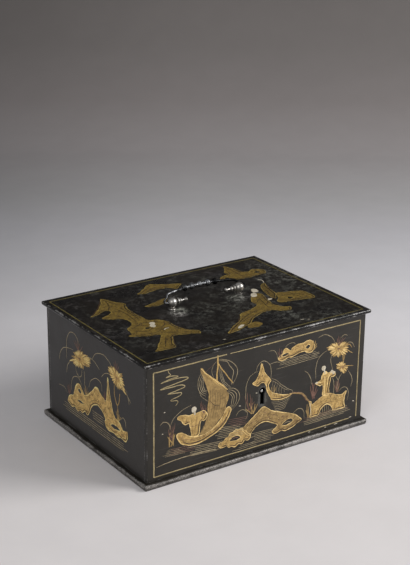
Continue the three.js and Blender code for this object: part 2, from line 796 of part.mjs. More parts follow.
function buildLeafScrews() {
  lidLeafScrewPlaces.forEach(([x, y], index) => {
    const z = lidBottom - seatGap * 2 - leafThickness;
    addMesh(lid, `leaf_screw_${screwNumber(index)}`, geometryOf(lidScrew(leafThickness).translate([x, y, z])), "iron");
  });
}

// Catch plate and its staples
const catchFront = boltY - stapleWidth / 2;
const catchScrewPlaces = [-1, 1].map((sign) => [
  keyholeX + sign * catchScrewSpread,
  catchFront + catchDepth / 2,
]);

function buildCatch() {
  const top = lidBottom - seatGap;
  let body = box(keyholeX - catchHalfLength, catchFront, top - catchThickness, keyholeX + catchHalfLength,
    catchFront + catchDepth, top);
  for (const sign of [-1, 1]) {
    const x = keyholeX + sign * stapleSpread;
    const half = stapleThickness / 2;
    const staple = box(x - half, boltY - stapleWidth / 2, stapleBottom, x + half, boltY + stapleWidth / 2,
      top - catchThickness / 2);
    const hole = box(x - half - cutOver, boltY - stapleHoleWidth / 2, stapleBottom + stapleFoot,
      x + half + cutOver, boltY + stapleHoleWidth / 2, fingerTop + runGap * 2);
    body = body.add(staple.subtract(hole));
  }
  for (const [x, y] of catchScrewPlaces) {
    const hole = cylinder(lidScrewRadius + holeGap, top - catchThickness - cutOver, top + cutOver);
    body = body.subtract(hole.translate([x, y, 0]));
  }
  addMesh(lid, "catch_plate", geometryOf(body), "iron");
  catchScrewPlaces.forEach(([x, y], index) => {
    const z = lidBottom - seatGap * 2 - catchThickness;
    addMesh(lid, `catch_screw_${screwNumber(index)}`, geometryOf(lidScrew(catchThickness).translate([x, y, z])), "iron");
  });
}

const postPlaces = [["left", handleX - postSpan / 2], ["right", handleX + postSpan / 2]];

function buildLid() {
  const halfX = caseWidth / 2 + lidOverhang;
  const halfY = caseDepth / 2 + lidOverhang;
  const nose = (part) => lidNose * (1 - Math.sin(part * 90 * degrees));
  const rise = (part) => lidNose * (1 - Math.cos(part * 90 * degrees));
  let body = edgedSlab(halfX, halfY, plateCorner, [
    [nose(0), lidBottom],
    [nose(0.5), lidBottom + rise(0.5)],
    [0, lidBottom + lidNose],
    [0, lidTop - lidNose],
    [nose(0.5), lidTop - rise(0.5)],
    [nose(0), lidTop],
  ]);
  const lipX = innerHalfWidth - lipClear;
  const lipY = innerHalfDepth - lipClear;
  const lipBottom = lidBottom - lipDepth;
  let lip = box(-lipX, -lipY, lipBottom, lipX, lipY, lidBottom + lidThickness / 2);
  lip = lip.subtract(box(-lipX + lipThickness, -lipY + lipThickness, lipBottom - cutOver, lipX - lipThickness,
    lipY - lipThickness, lidBottom));
  for (const [, x] of hingePlaces) {
    const half = hingeWidth / 2 + runGap * 2;
    lip = lip.subtract(box(x - half, lipY - lipThickness - cutOver, lipBottom - cutOver, x + half, lipY + cutOver,
      lidBottom));
  }
  body = body.add(lip);
  const tapped = [...lidLeafScrewPlaces, ...catchScrewPlaces];
  for (const [x, y] of tapped) {
    const hole = cylinder(lidScrewRadius + holeGap, lidBottom - cutOver, lidBottom + lidScrewBite + holeGap);
    body = body.subtract(hole.translate([x, y, 0]));
  }
  for (const [, x] of postPlaces) {
    const hole = cylinder(postShankRadius + holeGap, lidBottom - cutOver, lidTop + cutOver);
    body = body.subtract(hole.translate([x, handleY, 0]));
  }
  addMesh(lid, "lid_plate", geometryOf(body), "lacquer");
}

// Ball-headed post through the lid, its washer and its nut
const pivotZ = lidTop + pivotHeight;
const washerTop = lidBottom - seatGap;
const nutTop = washerTop - washerThickness - seatGap;

function postProfile() {
  const foot = lidTop + seatGap;
  const shankEnd = nutTop - nutThickness - shankPastNut;
  const points = [
    [0, shankEnd],
    [postShankRadius, shankEnd],
    [postShankRadius, foot],
    [postFootRadius, foot],
    [postFootRadius, foot + postFootHeight * 0.6],
    [postNeckRadius, foot + postFootHeight],
  ];
  const steps = 9;
  const start = Math.asin(postNeckRadius / ballRadius);
  for (let i = 0; i <= steps; i += 1) {
    const angle = start + ((Math.PI - start) * i) / steps;
    const radius = i === steps ? 0 : ballRadius * Math.sin(angle);
    points.push([radius, pivotZ - ballRadius * Math.cos(angle)]);
  }
  return points;
}

function buildPosts() {
  for (const [name, x] of postPlaces) {
    const bore = cylinder(postBoreRadius, -ballRadius - cutOver, ballRadius + cutOver, segmentsFine)
      .rotate([0, 90, 0])
      .translate([0, 0, pivotZ]);
    const post = turned(postProfile(), segmentsFine).subtract(bore).translate([x, handleY, 0]);
    addMesh(lid, `handle_post_${name}`, geometryOf(post), "steel");

    const bored = postShankRadius + holeGap;
    const washer = cylinder(washerRadius, washerTop - washerThickness, washerTop, segmentsFine)
      .subtract(cylinder(bored, washerTop - washerThickness - cutOver, washerTop + cutOver));
    addMesh(lid, `handle_washer_${name}`, geometryOf(washer.translate([x, handleY, 0])), "iron");

    const nutRadius = nutAcross / 2 / Math.cos(30 * degrees);
    const nut = cylinder(nutRadius, nutTop - nutThickness, nutTop, 6)
      .subtract(cylinder(bored, nutTop - nutThickness - cutOver, nutTop + cutOver));
    addMesh(lid, `handle_nut_${name}`, geometryOf(nut.translate([x, handleY, 0])), "iron");
  }
}

// The bail is modelled upright, with the pivot line on X through its group's origin
const gripProfile = [
  // [distance along the grip from its middle, radius]
  [0, 3], [1.6, 2.7], [2.8, 1.7], [4.4, 1.7], [5.2, 2.2], [6, 1.7], [7.2, 1.7], [8.6, 3.1],
  [10.4, 3.9], [12.2, 3.1], [13.4, 1.8], [14.6, 1.6], [17.4, 1.6], [18.4, 2.9], [19.8, 3.4],
  [21.2, 2.9], [22.2, 1.6], [27, 1.5], [33, 1.45],
];

function buildGrip() {
  const half = postSpan / 2;
  const last = half - 6;
  const side = [...gripProfile, [last, bailArmRadius]];
  const left = [...side].reverse().map(([along, radius]) => [radius, -along]);
  const right = side.slice(1).map(([along, radius]) => [radius, along]);
  return turned([[0, -last], ...left, ...right, [0, last]], segmentsGrip)
    .rotate([0, 90, 0])
    .translate([0, 0, bailHeight]);
}

// One arm: out of the ball's bore, round its outer side, and up over the shoulder to the grip
function buildArm() {
  const half = postSpan / 2;
  const face = half + ballRadius;
  const curve = new THREE.CatmullRomCurve3(
    [
      [half - ballRadius - finialSocket, 0],
      [half, 0],
      [face + 0.3, 0],
      [face + 1.9, 0.8],
      [face + 2.3, 2.8],
      [face + 0.9, 6.2],
      [half + 3.6, 9.6],
      [half + 2.4, 12.4],
      [half + 0.2, 14.8],
      [half - 3.4, bailHeight],
      [half - 7.5, bailHeight],
    ].map(([x, z]) => new THREE.Vector3(x, 0, z)),
    false,
    "centripetal",
  );
  const section = new THREE.Shape();
  section.absarc(0, 0, trunnionRadius, 0, Math.PI * 2, false);
  const geometry = new THREE.ExtrudeGeometry(section, {
    steps: 20,
    curveSegments: 5,
    extrudePath: curve,
  });
  return solid(geometry);
}

// The grip droops towards its ends, and the arms' feet stay on the pivot line
function bowed(body) {
  const half = postSpan / 2;
  return body.warp((point) => {
    const share = Math.min(Math.max((point[2] - bowStart) / (bowFull - bowStart), 0), 1);
    point[2] -= bailBow * (point[0] / half) ** 2 * share;
  });
}

function buildBail() {
  const arm = buildArm();
  const body = bowed(buildGrip().add(arm).add(arm.mirror([1, 0, 0])));
  addMesh(bail, "handle_bail", geometryOf(body), "steel");

  // Beaded finials on the arms' inner ends
  const inner = ballRadius + runGap;
  const profile = [
    [0, inner], [3.4, inner], [3.6, inner + 0.8], [3.4, inner + 1.8], [2.3, inner + 2.1],
    [2.5, inner + 3], [2.7, inner + 4.2], [2.3, inner + 5.4], [1.3, inner + 6.2], [1.3, finialReach - 4],
    [2.1, finialReach - 3], [2.4, finialReach - 1.9], [2, finialReach - 0.7], [1, finialReach], [0, finialReach],
  ];
  const socket = cylinder(trunnionRadius + runGap, inner - cutOver, ballRadius + finialSocket + runGap);
  const finial = turned(profile, segmentsGrip).subtract(socket).rotate([0, 90, 0]);
  addMesh(bail, "bail_finial_left", geometryOf(finial.translate([-postSpan / 2, 0, 0])), "steel");
  addMesh(bail, "bail_finial_right", geometryOf(finial.mirror([1, 0, 0]).translate([postSpan / 2, 0, 0])), "steel");
}

buildBase();
buildBaseScrews();
buildFrontWall();
buildRearWall();
buildSideWalls();
buildWallScrews();
buildLockPlate();
buildLockCase();
buildLockScrews();
buildKeyPin();
buildBolt();
buildBoltStuds();
buildBoltSpring();
for (const [name, x] of hingePlaces) {
  buildHinge(name, x);
}
buildHingeRivets();
buildLeafScrews();
buildLid();
buildCatch();
buildPosts();
buildBail();
bail.position.set(handleX, handleY, pivotZ);
bail.rotation.x = -(90 - bailRestAngle) * degrees;
lid.add(bail);

export default casket;
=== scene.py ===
"""A black-lacquered cast iron casket with gilt chinoiserie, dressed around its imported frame."""

import logging
import math
import random
from dataclasses import dataclass, field
from enum import Enum
from functools import cache
from typing import Sequence

import bmesh
import bpy
from mathutils import Matrix, Vector, geometry


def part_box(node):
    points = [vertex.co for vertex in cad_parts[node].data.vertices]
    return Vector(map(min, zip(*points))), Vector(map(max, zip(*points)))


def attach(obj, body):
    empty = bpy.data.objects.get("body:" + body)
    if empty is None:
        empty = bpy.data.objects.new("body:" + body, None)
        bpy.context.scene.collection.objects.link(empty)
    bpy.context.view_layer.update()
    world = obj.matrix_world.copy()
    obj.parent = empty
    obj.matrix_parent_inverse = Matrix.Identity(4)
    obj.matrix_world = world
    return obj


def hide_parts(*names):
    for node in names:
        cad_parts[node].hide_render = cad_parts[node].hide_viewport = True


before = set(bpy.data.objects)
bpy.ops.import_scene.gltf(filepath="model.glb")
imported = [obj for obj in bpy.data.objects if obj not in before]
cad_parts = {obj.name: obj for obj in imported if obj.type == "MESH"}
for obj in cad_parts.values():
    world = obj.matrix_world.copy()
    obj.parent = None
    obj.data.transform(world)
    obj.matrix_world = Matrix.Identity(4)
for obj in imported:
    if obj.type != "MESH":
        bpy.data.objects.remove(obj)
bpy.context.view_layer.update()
log = logging.getLogger("casket")

MM = 0.001
UP = Vector((0, 0, 1))
Point = tuple[float, float]
Triple = tuple[float, float, float]
Colour = Triple
Trail = str | Sequence[Point]


def vec(x: float, y: float, z: float) -> Vector:
    """A point given in millimetres, as a vector in metres."""
    return Vector((x, y, z)) * MM


def tinted(colour: Colour, *shares: float) -> Colour:
    """A colour with its red, green and blue multiplied."""
    return tuple(value * share for value, share in zip(colour, shares))


class Slot(Enum):
    """The record's material slots."""

    LACQUER = "lacquered_iron"
    GILT = "gilt"
    SHELL = "shell_inlay"
    HANDLE = "handle_steel"
    BRIGHT = "bright_steel"
    IRON = "dark_iron"


class Body(Enum):
    """The bodies that pieces ride on."""

    CASE = "case"
    LID = "lid"
    BAIL = "bail"
    BOLT = "bolt"


# Node trees

class Sheet:
    """Adds nodes to one tree and wires them, so that a material reads as a list of steps."""

    def __init__(self, tree: bpy.types.NodeTree) -> None:
        """Works on the given tree."""
        self.tree = tree

    def put(self, socket: bpy.types.NodeSocket, value: object) -> None:
        """Feeds a socket with a wire, or sets it to a plain value."""
        if isinstance(value, Wire):
            self.tree.links.new(value.socket, socket)
        else:
            socket.default_value = (*value, 1.0) if socket.type == "RGBA" else value

    def node(self, kind: str, *feeds: object, **values: object) -> bpy.types.Node:
        """A new node.

        Args:
            kind: its type.
            feeds: what its first inputs get, in order.
            values: its properties by name, then its inputs by name, each with a capital and underscores.

        Returns:
            The node.
        """
        node = self.tree.nodes.new(kind)
        for name, value in values.items():
            if name[0].islower():
                setattr(node, name, value)
            else:
                self.put(node.inputs[name.replace("_", " ")], value)
        for socket, value in zip(node.inputs, feeds):
            self.put(socket, value)
        return node

    def step(self, kind: str, *feeds: object, output: int | str = 0, **values: object) -> "Wire":
        """A new node as above, of which one output is wanted."""
        return Wire(self, self.node(kind, *feeds, **values).outputs[output])

    def math(self, operation: str, *values: object, clamp: bool = False) -> "Wire":
        """A Math node, whose result is kept between 0 and 1 if it is clamped."""
        return self.step("ShaderNodeMath", *values, operation=operation, use_clamp=clamp)

    def vector(self, operation: str, *values: object, output: str = "Vector") -> "Wire":
        """A Vector Math node."""
        return self.step("ShaderNodeVectorMath", *values, operation=operation, output=output)

    def spread(self, value: object, low: float, high: float, to_low: float = 0.0, to_high: float = 1.0,
               kind: str = "SMOOTHSTEP") -> "Wire":
        """Maps a value from one range to another, and keeps it there."""
        return self.step("ShaderNodeMapRange", value, low, high, to_low, to_high, interpolation_type=kind,
                         output="Result")

    def noise(self, place: "Wire", scale: float, detail: float = 3.0, rough: float = 0.55,
              warp: float = 0.0) -> "Wire":
        """Noise at a place, about 0.5 on average, whose scale is how fine it is per metre."""
        return self.step("ShaderNodeTexNoise", Vector=place, Scale=scale, Detail=detail, Roughness=rough,
                         Distortion=warp, output="Fac")

    def blend(self, share: object, first: object, second: object, kind: str = "MIX") -> "Wire":
        """Mixes two colours.

        Args:
            share: how much of the second colour shows.
            first, second: the colours.
            kind: the way they are mixed.

        Returns:
            The mixed colour.
        """
        node = self.node("ShaderNodeMix", data_type="RGBA", blend_type=kind)
        for index, value in ((0, share), (6, first), (7, second)):
            self.put(node.inputs[index], value)
        return Wire(self, node.outputs[2])

    def place(self) -> "Wire":
        """Object coordinates."""
        return self.step("ShaderNodeTexCoord", output="Object")

    def axes(self, place: "Wire") -> list["Wire"]:
        """The X, Y and Z of a place."""
        return [Wire(self, socket) for socket in self.node("ShaderNodeSeparateXYZ", place).outputs]

    def group(self, tree: bpy.types.NodeTree, **values: object) -> dict[str, "Wire"]:
        """The outputs of a group that has its own values."""
        node = self.node("ShaderNodeGroup", node_tree=tree, **values)
        return {socket.name: Wire(self, socket) for socket in node.outputs}

    def bump(self, height: "Wire", depth: float, strength: float) -> "Wire":
        """A normal bumped by a height, where 1 stands for a depth in metres."""
        return self.step("ShaderNodeBump", Strength=strength, Distance=depth, Height=height)

    def shade(self, **values: object) -> None:
        """Ends a material with a shader that has these inputs."""
        shader = self.step("ShaderNodeBsdfPrincipled", **values)
        self.node("ShaderNodeOutputMaterial", Surface=shader)


@dataclass(frozen=True)
class Wire:
    """A node's output. Arithmetic on it adds Math nodes."""

    sheet: Sheet
    socket: bpy.types.NodeSocket

    def __add__(self, other: object) -> "Wire":
        """This and another value."""
        return self.sheet.math("ADD", self, other)

    def __sub__(self, other: object) -> "Wire":
        """This less another value."""
        return self.sheet.math("SUBTRACT", self, other)

    def __rsub__(self, other: object) -> "Wire":
        """Another value less this."""
        return self.sheet.math("SUBTRACT", other, self)

    def __mul__(self, other: object) -> "Wire":
        """This times another value."""
        return self.sheet.math("MULTIPLY", self, other)


def new_tree(name: str, kind: str, inputs: dict[str, str],
             outputs: dict[str, str]) -> tuple[Sheet, dict[str, Wire]]:
    """An empty node group with named sockets.

    Args:
        name: its name.
        kind: the type of tree.
        inputs, outputs: the type of each socket, by its name.

    Returns:
        A sheet on it, and its inputs by name.
    """
    tree = bpy.data.node_groups.new(name, kind)
    for way, sockets in (("INPUT", inputs), ("OUTPUT", outputs)):
        for label, value in sockets.items():
            tree.interface.new_socket(label, in_out=way, socket_type=f"NodeSocket{value}")
    sheet = Sheet(tree)
    given = sheet.node("NodeGroupInput").outputs
    return sheet, {label: Wire(sheet, given[label]) for label in inputs}


def new_material(name: str) -> tuple[bpy.types.Material, Sheet]:
    """An empty material, and a sheet on its tree."""
    material = bpy.data.materials.new(name)
    material.use_nodes = True
    material.node_tree.nodes.clear()
    return material, Sheet(material.node_tree)


@cache
def edge_rub() -> bpy.types.NodeTree:
    """Bare metal along the edges of a box-shaped casting.

    Returns:
        A group with the box's Centre and Half size, the Reach of the wear and its Raggedness, which puts
        out Wear.
    """
    inputs = {"Centre": "Vector", "Half": "Vector", "Reach": "Float", "Raggedness": "Float"}
    sheet, given = new_tree("edge rub", "ShaderNodeTree", inputs, {"Wear": "Float"})
    place = sheet.place()
    inside = sheet.vector("ABSOLUTE", sheet.vector("SUBTRACT", place, given["Centre"]))
    x, y, z = sheet.axes(sheet.vector("SUBTRACT", given["Half"], inside))
    low = sheet.math("MINIMUM", x, y)
    high = sheet.math("MAXIMUM", x, y)
    middle = sheet.math("MAXIMUM", low, sheet.math("MINIMUM", high, z))
    near = sheet.math("SUBTRACT", 1.0, sheet.math("DIVIDE", middle, given["Reach"]), clamp=True)
    coarse = sheet.noise(place, 55, 4, 0.65) - 0.5
    fine = sheet.noise(place, 420, 3, 0.6) - 0.5
    worn = near + given["Raggedness"] * (coarse * 2.4 + fine)
    sheet.node("NodeGroupOutput", Wear=sheet.spread(worn, 0.62, 0.92))
    return sheet.tree


@cache
def patina() -> bpy.types.NodeTree:
    """Age of a hand-finished surface.

    Returns:
        A group with a Scale, which puts out broad Mottle, fine Grain, thin Scratches and Chips.
    """
    outputs = dict.fromkeys(("Mottle", "Grain", "Scratches", "Chips"), "Float")
    sheet, given = new_tree("patina", "ShaderNodeTree", {"Scale": "Float"}, outputs)
    spot = sheet.step("ShaderNodeVectorMath", sheet.place(), operation="SCALE", Scale=given["Scale"])
    scratches = None
    for turn, stretch in ((0.35, 30.0), (1.2, 34.0), (2.4, 38.0)):
        along = sheet.step("ShaderNodeMapping", Vector=spot, Rotation=(turn * 0.4, turn * 0.7, turn),
                           Scale=(1.0, stretch, stretch))
        lines = sheet.spread(sheet.noise(along, 24, 2, 0.5), 0.665, 0.70)
        scratches = lines if scratches is None else sheet.math("MAXIMUM", scratches, lines)
    patches = sheet.spread(sheet.noise(spot, 31, 2, 0.5), 0.42, 0.62)
    chips = sheet.spread(sheet.noise(spot, 330, 3, 0.7), 0.735, 0.765)
    sheet.node("NodeGroupOutput", Mottle=sheet.spread(sheet.noise(spot, 26, 5, 0.62, 0.4), 0.36, 0.66),
               Grain=sheet.noise(spot, 900, 2, 0.5), Scratches=scratches * patches,
               Chips=chips * sheet.spread(sheet.noise(spot, 40, 3), 0.5, 0.6))
    return sheet.tree


# Finishes

@dataclass(frozen=True)
class Lacquer:
    """Black japanned lacquer on cast iron, rubbed to bare metal along the edges of one casting."""

    name: str
    centre: Vector
    half: Vector
    black: Colour = (0.0085, 0.0068, 0.0035)
    brown: Colour = (0.0155, 0.0120, 0.0075)
    cloud: Colour = (0.022, 0.022, 0.022)
    worn: Colour = (0.25, 0.24, 0.23)
    handled: Colour = (0.15, 0.145, 0.125)
    # Painted shade: the near-black colour of the keyhole's sides.
    hollow: Colour = (0.0015, 0.0015, 0.0015)
    reach: float = 1.6 * MM
    raggedness: float = 0.9
    gloss: float = 0.30
    sheen: float = 0.5
    chips: float = 0.8
    haze: float = 0.25
    scratched: float = 0.07
    keyhole: Triple | None = None
    scuffs_and_ball_reflections: tuple[Triple, ...] = ()
    # Painted shade: bare metal on the base fades out below this height.
    shaded_to: float | None = None
    painted_light_side: float | None = None

    def build(self) -> bpy.types.Material:
        """The material."""
        material, sheet = new_material(self.name)
        rub = sheet.group(edge_rub(), Centre=self.centre, Half=self.half, Reach=self.reach,
                          Raggedness=self.raggedness)
        age = sheet.group(patina(), Scale=1.0)
        place = sheet.place()
        bare = sheet.math("MAXIMUM", rub["Wear"], age["Chips"] * self.chips, clamp=True)
        # Painted shade: on the base, bare metal fades out towards the bottom of its edge.
        if self.shaded_to is not None:
            bare = bare * sheet.spread(sheet.axes(place)[2], self.shaded_to * 0.45, self.shaded_to, 0.25)
        clouds_and_painted_light = self.clouds_and_painted_light(sheet, place)
        tint = sheet.blend(sheet.spread(sheet.noise(place, 11, 2), 0.42, 0.58),
                           tinted(self.cloud, 0.96, 1.0, 0.88), tinted(self.cloud, 1.03, 0.97, 0.98))
        lacquer = sheet.blend(age["Mottle"], self.black, self.brown)
        lacquer = sheet.blend(clouds_and_painted_light, lacquer, tint)
        lacquer = sheet.blend(age["Scratches"] * self.scratched, lacquer, self.worn)
        if self.keyhole is not None:
            halo, inner = self.keyhole_rub_and_shade(sheet, place)
            lacquer = sheet.blend(halo * 0.5, lacquer, self.handled)
            # Painted shade: the keyhole's sides are made near black and kept free of wear.
            lacquer = sheet.blend(inner, lacquer, self.hollow)
            bare = bare * (1.0 - inner)
        tarnished = sheet.spread(age["Grain"], 0.38, 0.62)
        metal = sheet.blend(tarnished, tinted(self.worn, 0.3, 0.3, 0.3), self.worn)
        dull = age["Mottle"] * 0.12 + self.gloss + clouds_and_painted_light * 0.2
        height = age["Mottle"] * 0.5 + age["Grain"] * 0.05 - bare * 0.35 - age["Scratches"] * 0.04
        sheet.shade(Base_Color=sheet.blend(bare, lacquer, metal),
                    Roughness=sheet.math("ADD", dull, bare * 0.2, clamp=True), Metallic=bare * 0.5,
                    Specular_IOR_Level=self.sheen, Normal=sheet.bump(height, 0.16 * MM, 0.7))
        return material

    def clouds_and_painted_light(self, sheet: Sheet, place: Wire) -> Wire:
        """Clouded lacquer, and scuffs on a level face that are partly painted reflections of the balls."""
        x, _, z = sheet.axes(place)
        drift = sheet.spread(sheet.noise(place, 17, 3, 0.6), 0.38, 0.62, 0.2)
        clouds_and_painted_light = sheet.spread(sheet.noise(place, 150, 9, 0.80, 0.4), 0.47, 0.64, 0.0, self.haze) * drift
        # Painted light: the clouds grow stronger towards +X, the key lamp's side.
        if self.painted_light_side is not None:
            clouds_and_painted_light = clouds_and_painted_light * sheet.spread(x, -self.painted_light_side, self.painted_light_side, 0.45)
        # Each patch is partly wear and partly a painted reflection of a ball post in the gloss.
        for across, along, reach in self.scuffs_and_ball_reflections:
            level = sheet.vector("MULTIPLY", place, (1.0, 1.0, 0.0))
            away = sheet.vector("DISTANCE", level, (across, along, 0.0), output="Value")
            streaks = sheet.spread(sheet.noise(place, 120, 6, 0.8, 1.6), 0.46, 0.62)
            scuff = sheet.spread(away, reach * 0.3, reach * 1.2, 1.0, 0.0) * streaks
            clouds_and_painted_light = sheet.math("MAXIMUM", clouds_and_painted_light, scuff)
        if self.scuffs_and_ball_reflections:
            top = self.centre.z + self.half.z
            clouds_and_painted_light = clouds_and_painted_light * sheet.spread(z, top - 1.2 * MM, top - 0.4 * MM)
        return clouds_and_painted_light

    def keyhole_rub_and_shade(self, sheet: Sheet, place: Wire) -> tuple[Wire, Wire]:
        """Where keys have rubbed the lacquer round the keyhole, and painted shade on the hole's sides."""
        centre_x, centre_z, drop = self.keyhole
        x, y, z = sheet.axes(place)
        across = x - centre_x
        rise = z - centre_z
        off = rise + sheet.math("MINIMUM", sheet.math("MAXIMUM", rise * -1.0, 0.0), drop)
        reach = sheet.math("SQRT", across * across + off * off)
        ragged = (sheet.noise(place, 330, 4, 0.75) - 0.5) * (11 * MM)
        halo = sheet.spread(reach + ragged, 2.0 * MM, 7.5 * MM, 1.0, 0.0)
        face = self.centre.y - self.half.y
        behind = sheet.spread(y, face + 0.1 * MM, face + 0.4 * MM)
        return halo, behind * sheet.spread(reach, 6 * MM, 7 * MM, 1.0, 0.0)


@dataclass(frozen=True)
class Metal:
    """Plain metal with tarnish, fine marks and a little dirt, and painted shade towards one end if asked."""

    name: str
    colour: Colour
    tarnish: Colour
    share: float
    roughness: float
    scale: float = 1.0
    depth: float = 0.05 * MM
    painted_shade_from: float | None = None
    darkens_over: float = 12 * MM

    def build(self) -> bpy.types.Material:
        """The material."""
        material, sheet = new_material(self.name)
        age = sheet.group(patina(), Scale=self.scale)
        stain = sheet.math("ADD", age["Mottle"] * self.share, age["Chips"] * self.share, clamp=True)
        colour = sheet.blend(stain, self.colour, self.tarnish)
        # Painted shade: along X from this point, the colour turns near black towards the bail's right end.
        if self.painted_shade_from is not None:
            end = sheet.spread(sheet.axes(sheet.place())[0], self.painted_shade_from,
                               self.painted_shade_from + self.darkens_over, 0.0, 0.97)
            colour = sheet.blend(end, colour, self.tarnish)
        dull = sheet.math("ADD", stain * 0.35 + self.roughness, age["Scratches"] * 0.12, clamp=True)
        height = age["Mottle"] + age["Grain"] * 0.25 - age["Scratches"] * 0.4
        sheet.shade(Base_Color=colour, Roughness=dull, Metallic=1.0,
                    Normal=sheet.bump(height, self.depth, 0.6))
        return material


# Meshes

def link(name: str, data: bpy.types.ID, *materials: bpy.types.Material) -> bpy.types.Object:
    """Puts a mesh, curve, lamp or camera in the scene, with materials if it has none yet."""
    piece = bpy.data.objects.new(name, data)
    bpy.context.scene.collection.objects.link(piece)
    for material in materials:
        data.materials.append(material)
    return piece


def fitted(piece: bpy.types.Object, body: Body, slot: Slot, *nodes: str) -> None:
    """Makes a finished piece ride on its body and stand for its nodes.

    Args:
        piece: the finished piece.
        body: the body that carries it.
        slot: its material slot; not used.
        nodes: the nodes it stands for.
    """
    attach(piece, body.value)
    if nodes:
        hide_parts(*nodes)
    log.info("%s on %s, %d faces", piece.name, body.value, len(piece.data.polygons))


def evaluated_mesh(piece: bpy.types.Object) -> bpy.types.Mesh:
    """A plain mesh of a piece with its modifiers applied. The piece is deleted."""
    bpy.context.view_layer.update()
    graph = bpy.context.evaluated_depsgraph_get()
    mesh = bpy.data.meshes.new_from_object(piece.evaluated_get(graph), depsgraph=graph)
    bpy.data.objects.remove(piece)
    return mesh


def made(work: bmesh.types.BMesh, name: str, outwards: bool = True) -> bpy.types.Mesh:
    """A finished bmesh as a mesh.

    Args:
        work: the bmesh, which is freed.
        name: the mesh's name.
        outwards: turns its faces outwards.

    Returns:
        The mesh.
    """
    if outwards:
        bmesh.ops.recalc_face_normals(work, faces=work.faces)
    mesh = bpy.data.meshes.new(name)
    work.to_mesh(mesh)
    work.free()
    return mesh


def smooth(mesh: bpy.types.Mesh, angle: float = 32.0, broad: float = 3.0) -> bpy.types.Mesh:
    """Shades a mesh smooth, but sharp at steep edges and round broad flat faces.

    Args:
        mesh: the mesh, which is changed.
        angle: edges over this angle are sharp, in degrees.
        broad: a face is broad from this mean width on, in millimetres.

    Returns:
        The same mesh.
    """
    mesh.shade_smooth()
    mesh.set_sharp_from_angle(angle=math.radians(angle))
    places = [vertex.co for vertex in mesh.vertices]
    rims = set()
    for face in mesh.polygons:
        longest = max((places[a] - places[b]).length for a, b in face.edge_keys)
        if face.area > broad * MM * longest:
            rims.update(face.edge_keys)
    for edge in mesh.edges:
        if edge.key in rims:
            edge.use_edge_sharp = True
    return mesh


def refined(node: str, body: Body, slot: Slot, material: bpy.types.Material, bevel: float,
            suffix: str) -> None:
    """A copy of a node with merged corners, whole faces and rounded edges, which stands for it.

    Args:
        node: the node.
        body: the body that carries it.
        slot: its material slot.
        material: its finish.
        bevel: width of the rounding, in millimetres.
        suffix: what the piece's name adds to the node's.
    """
    merged, flat, sharp = 0.002 * MM, math.radians(1.0), math.radians(24.0)
    work = bmesh.new()
    work.from_mesh(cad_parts[node].data)
    bmesh.ops.remove_doubles(work, verts=work.verts, dist=merged)
    bmesh.ops.dissolve_limit(work, angle_limit=flat, verts=work.verts, edges=work.edges)
    edges = [edge for edge in work.edges
             if len(edge.link_faces) == 2 and edge.calc_face_angle(0.0) > sharp]
    bmesh.ops.bevel(work, geom=edges, offset=bevel * MM, segments=3, profile=0.5, affect="EDGES",
                    clamp_overlap=True)
    name = f"{node}_{suffix}"
    mesh = made(work, name)
    mesh.materials.clear()
    fitted(link(name, smooth(mesh), material), body, slot, node)


def flowing(points: Sequence[Point], steps: int) -> list[Point]:
    """A smooth curve through points of rising first value, which is level at each peak and hollow.

    Args:
        points: pairs of place and height.
        steps: steps from each point to the next.

    Returns:
        The curve's points.
    """
    slopes = [(b[1] - a[1]) / (b[0] - a[0]) for a, b in zip(points, points[1:])]
    tangents = [slopes[0]]
    for before, after in zip(slopes, slopes[1:]):
        tangents.append(0.0 if before * after <= 0 else 2 * before * after / (before + after))
    tangents.append(slopes[-1])
    result: list[Point] = []
    for i, (a, b) in enumerate(zip(points, points[1:])):
        width = b[0] - a[0]
        for step in range(steps):
            t = step / steps
            value = ((1 + 2 * t) * (1 - t) ** 2 * a[1] + t * (1 - t) ** 2 * width * tangents[i]
                     + t * t * (3 - 2 * t) * b[1] + t * t * (t - 1) * width * tangents[i + 1])
            result.append((a[0] + width * t, value))
    result.append(tuple(points[-1]))
    return result


def between(a: Point, b: Point, c: Point, d: Point, steps: int) -> list[Point]:
    """Points from the second of four points up to the third, on a smooth curve through all (Catmull-Rom)."""
    result = []
    for step in range(steps):
        t = step / steps
        result.append(tuple(
            0.5 * (2 * b[k] + (c[k] - a[k]) * t + (2 * a[k] - 5 * b[k] + 4 * c[k] - d[k]) * t * t
                   + (3 * b[k] - a[k] - 3 * c[k] + d[k]) * t ** 3) for k in (0, 1)))
    return result


def through(points: Sequence[Point], steps: int) -> list[Point]:
    """A smooth plane curve through points, with some steps from each to the next."""
    ends = [points[0], *points, points[-1]]
    spans = zip(ends, ends[1:], ends[2:], ends[3:])
    return [spot for span in spans for spot in between(*span, steps)] + [tuple(points[-1])]


def round_off(points: Sequence[Point], steps: int) -> list[Point]:
    """A smooth closed outline through points, with some steps from each to the next."""
    count = len(points)
    spans = ([points[(i + k) % count] for k in (-1, 0, 1, 2)] for i in range(count))
    return [spot for span in spans for spot in between(*span, steps)]


def arc(centre: Point, radius: float, start: float, end: float, steps: int) -> list[Point]:
    """Points on an arc, both ends included, from one angle to another in degrees."""
    angles = [math.radians(start + (end - start) * i / steps) for i in range(steps + 1)]
    return [(centre[0] + radius * math.cos(a), centre[1] + radius * math.sin(a)) for a in angles]


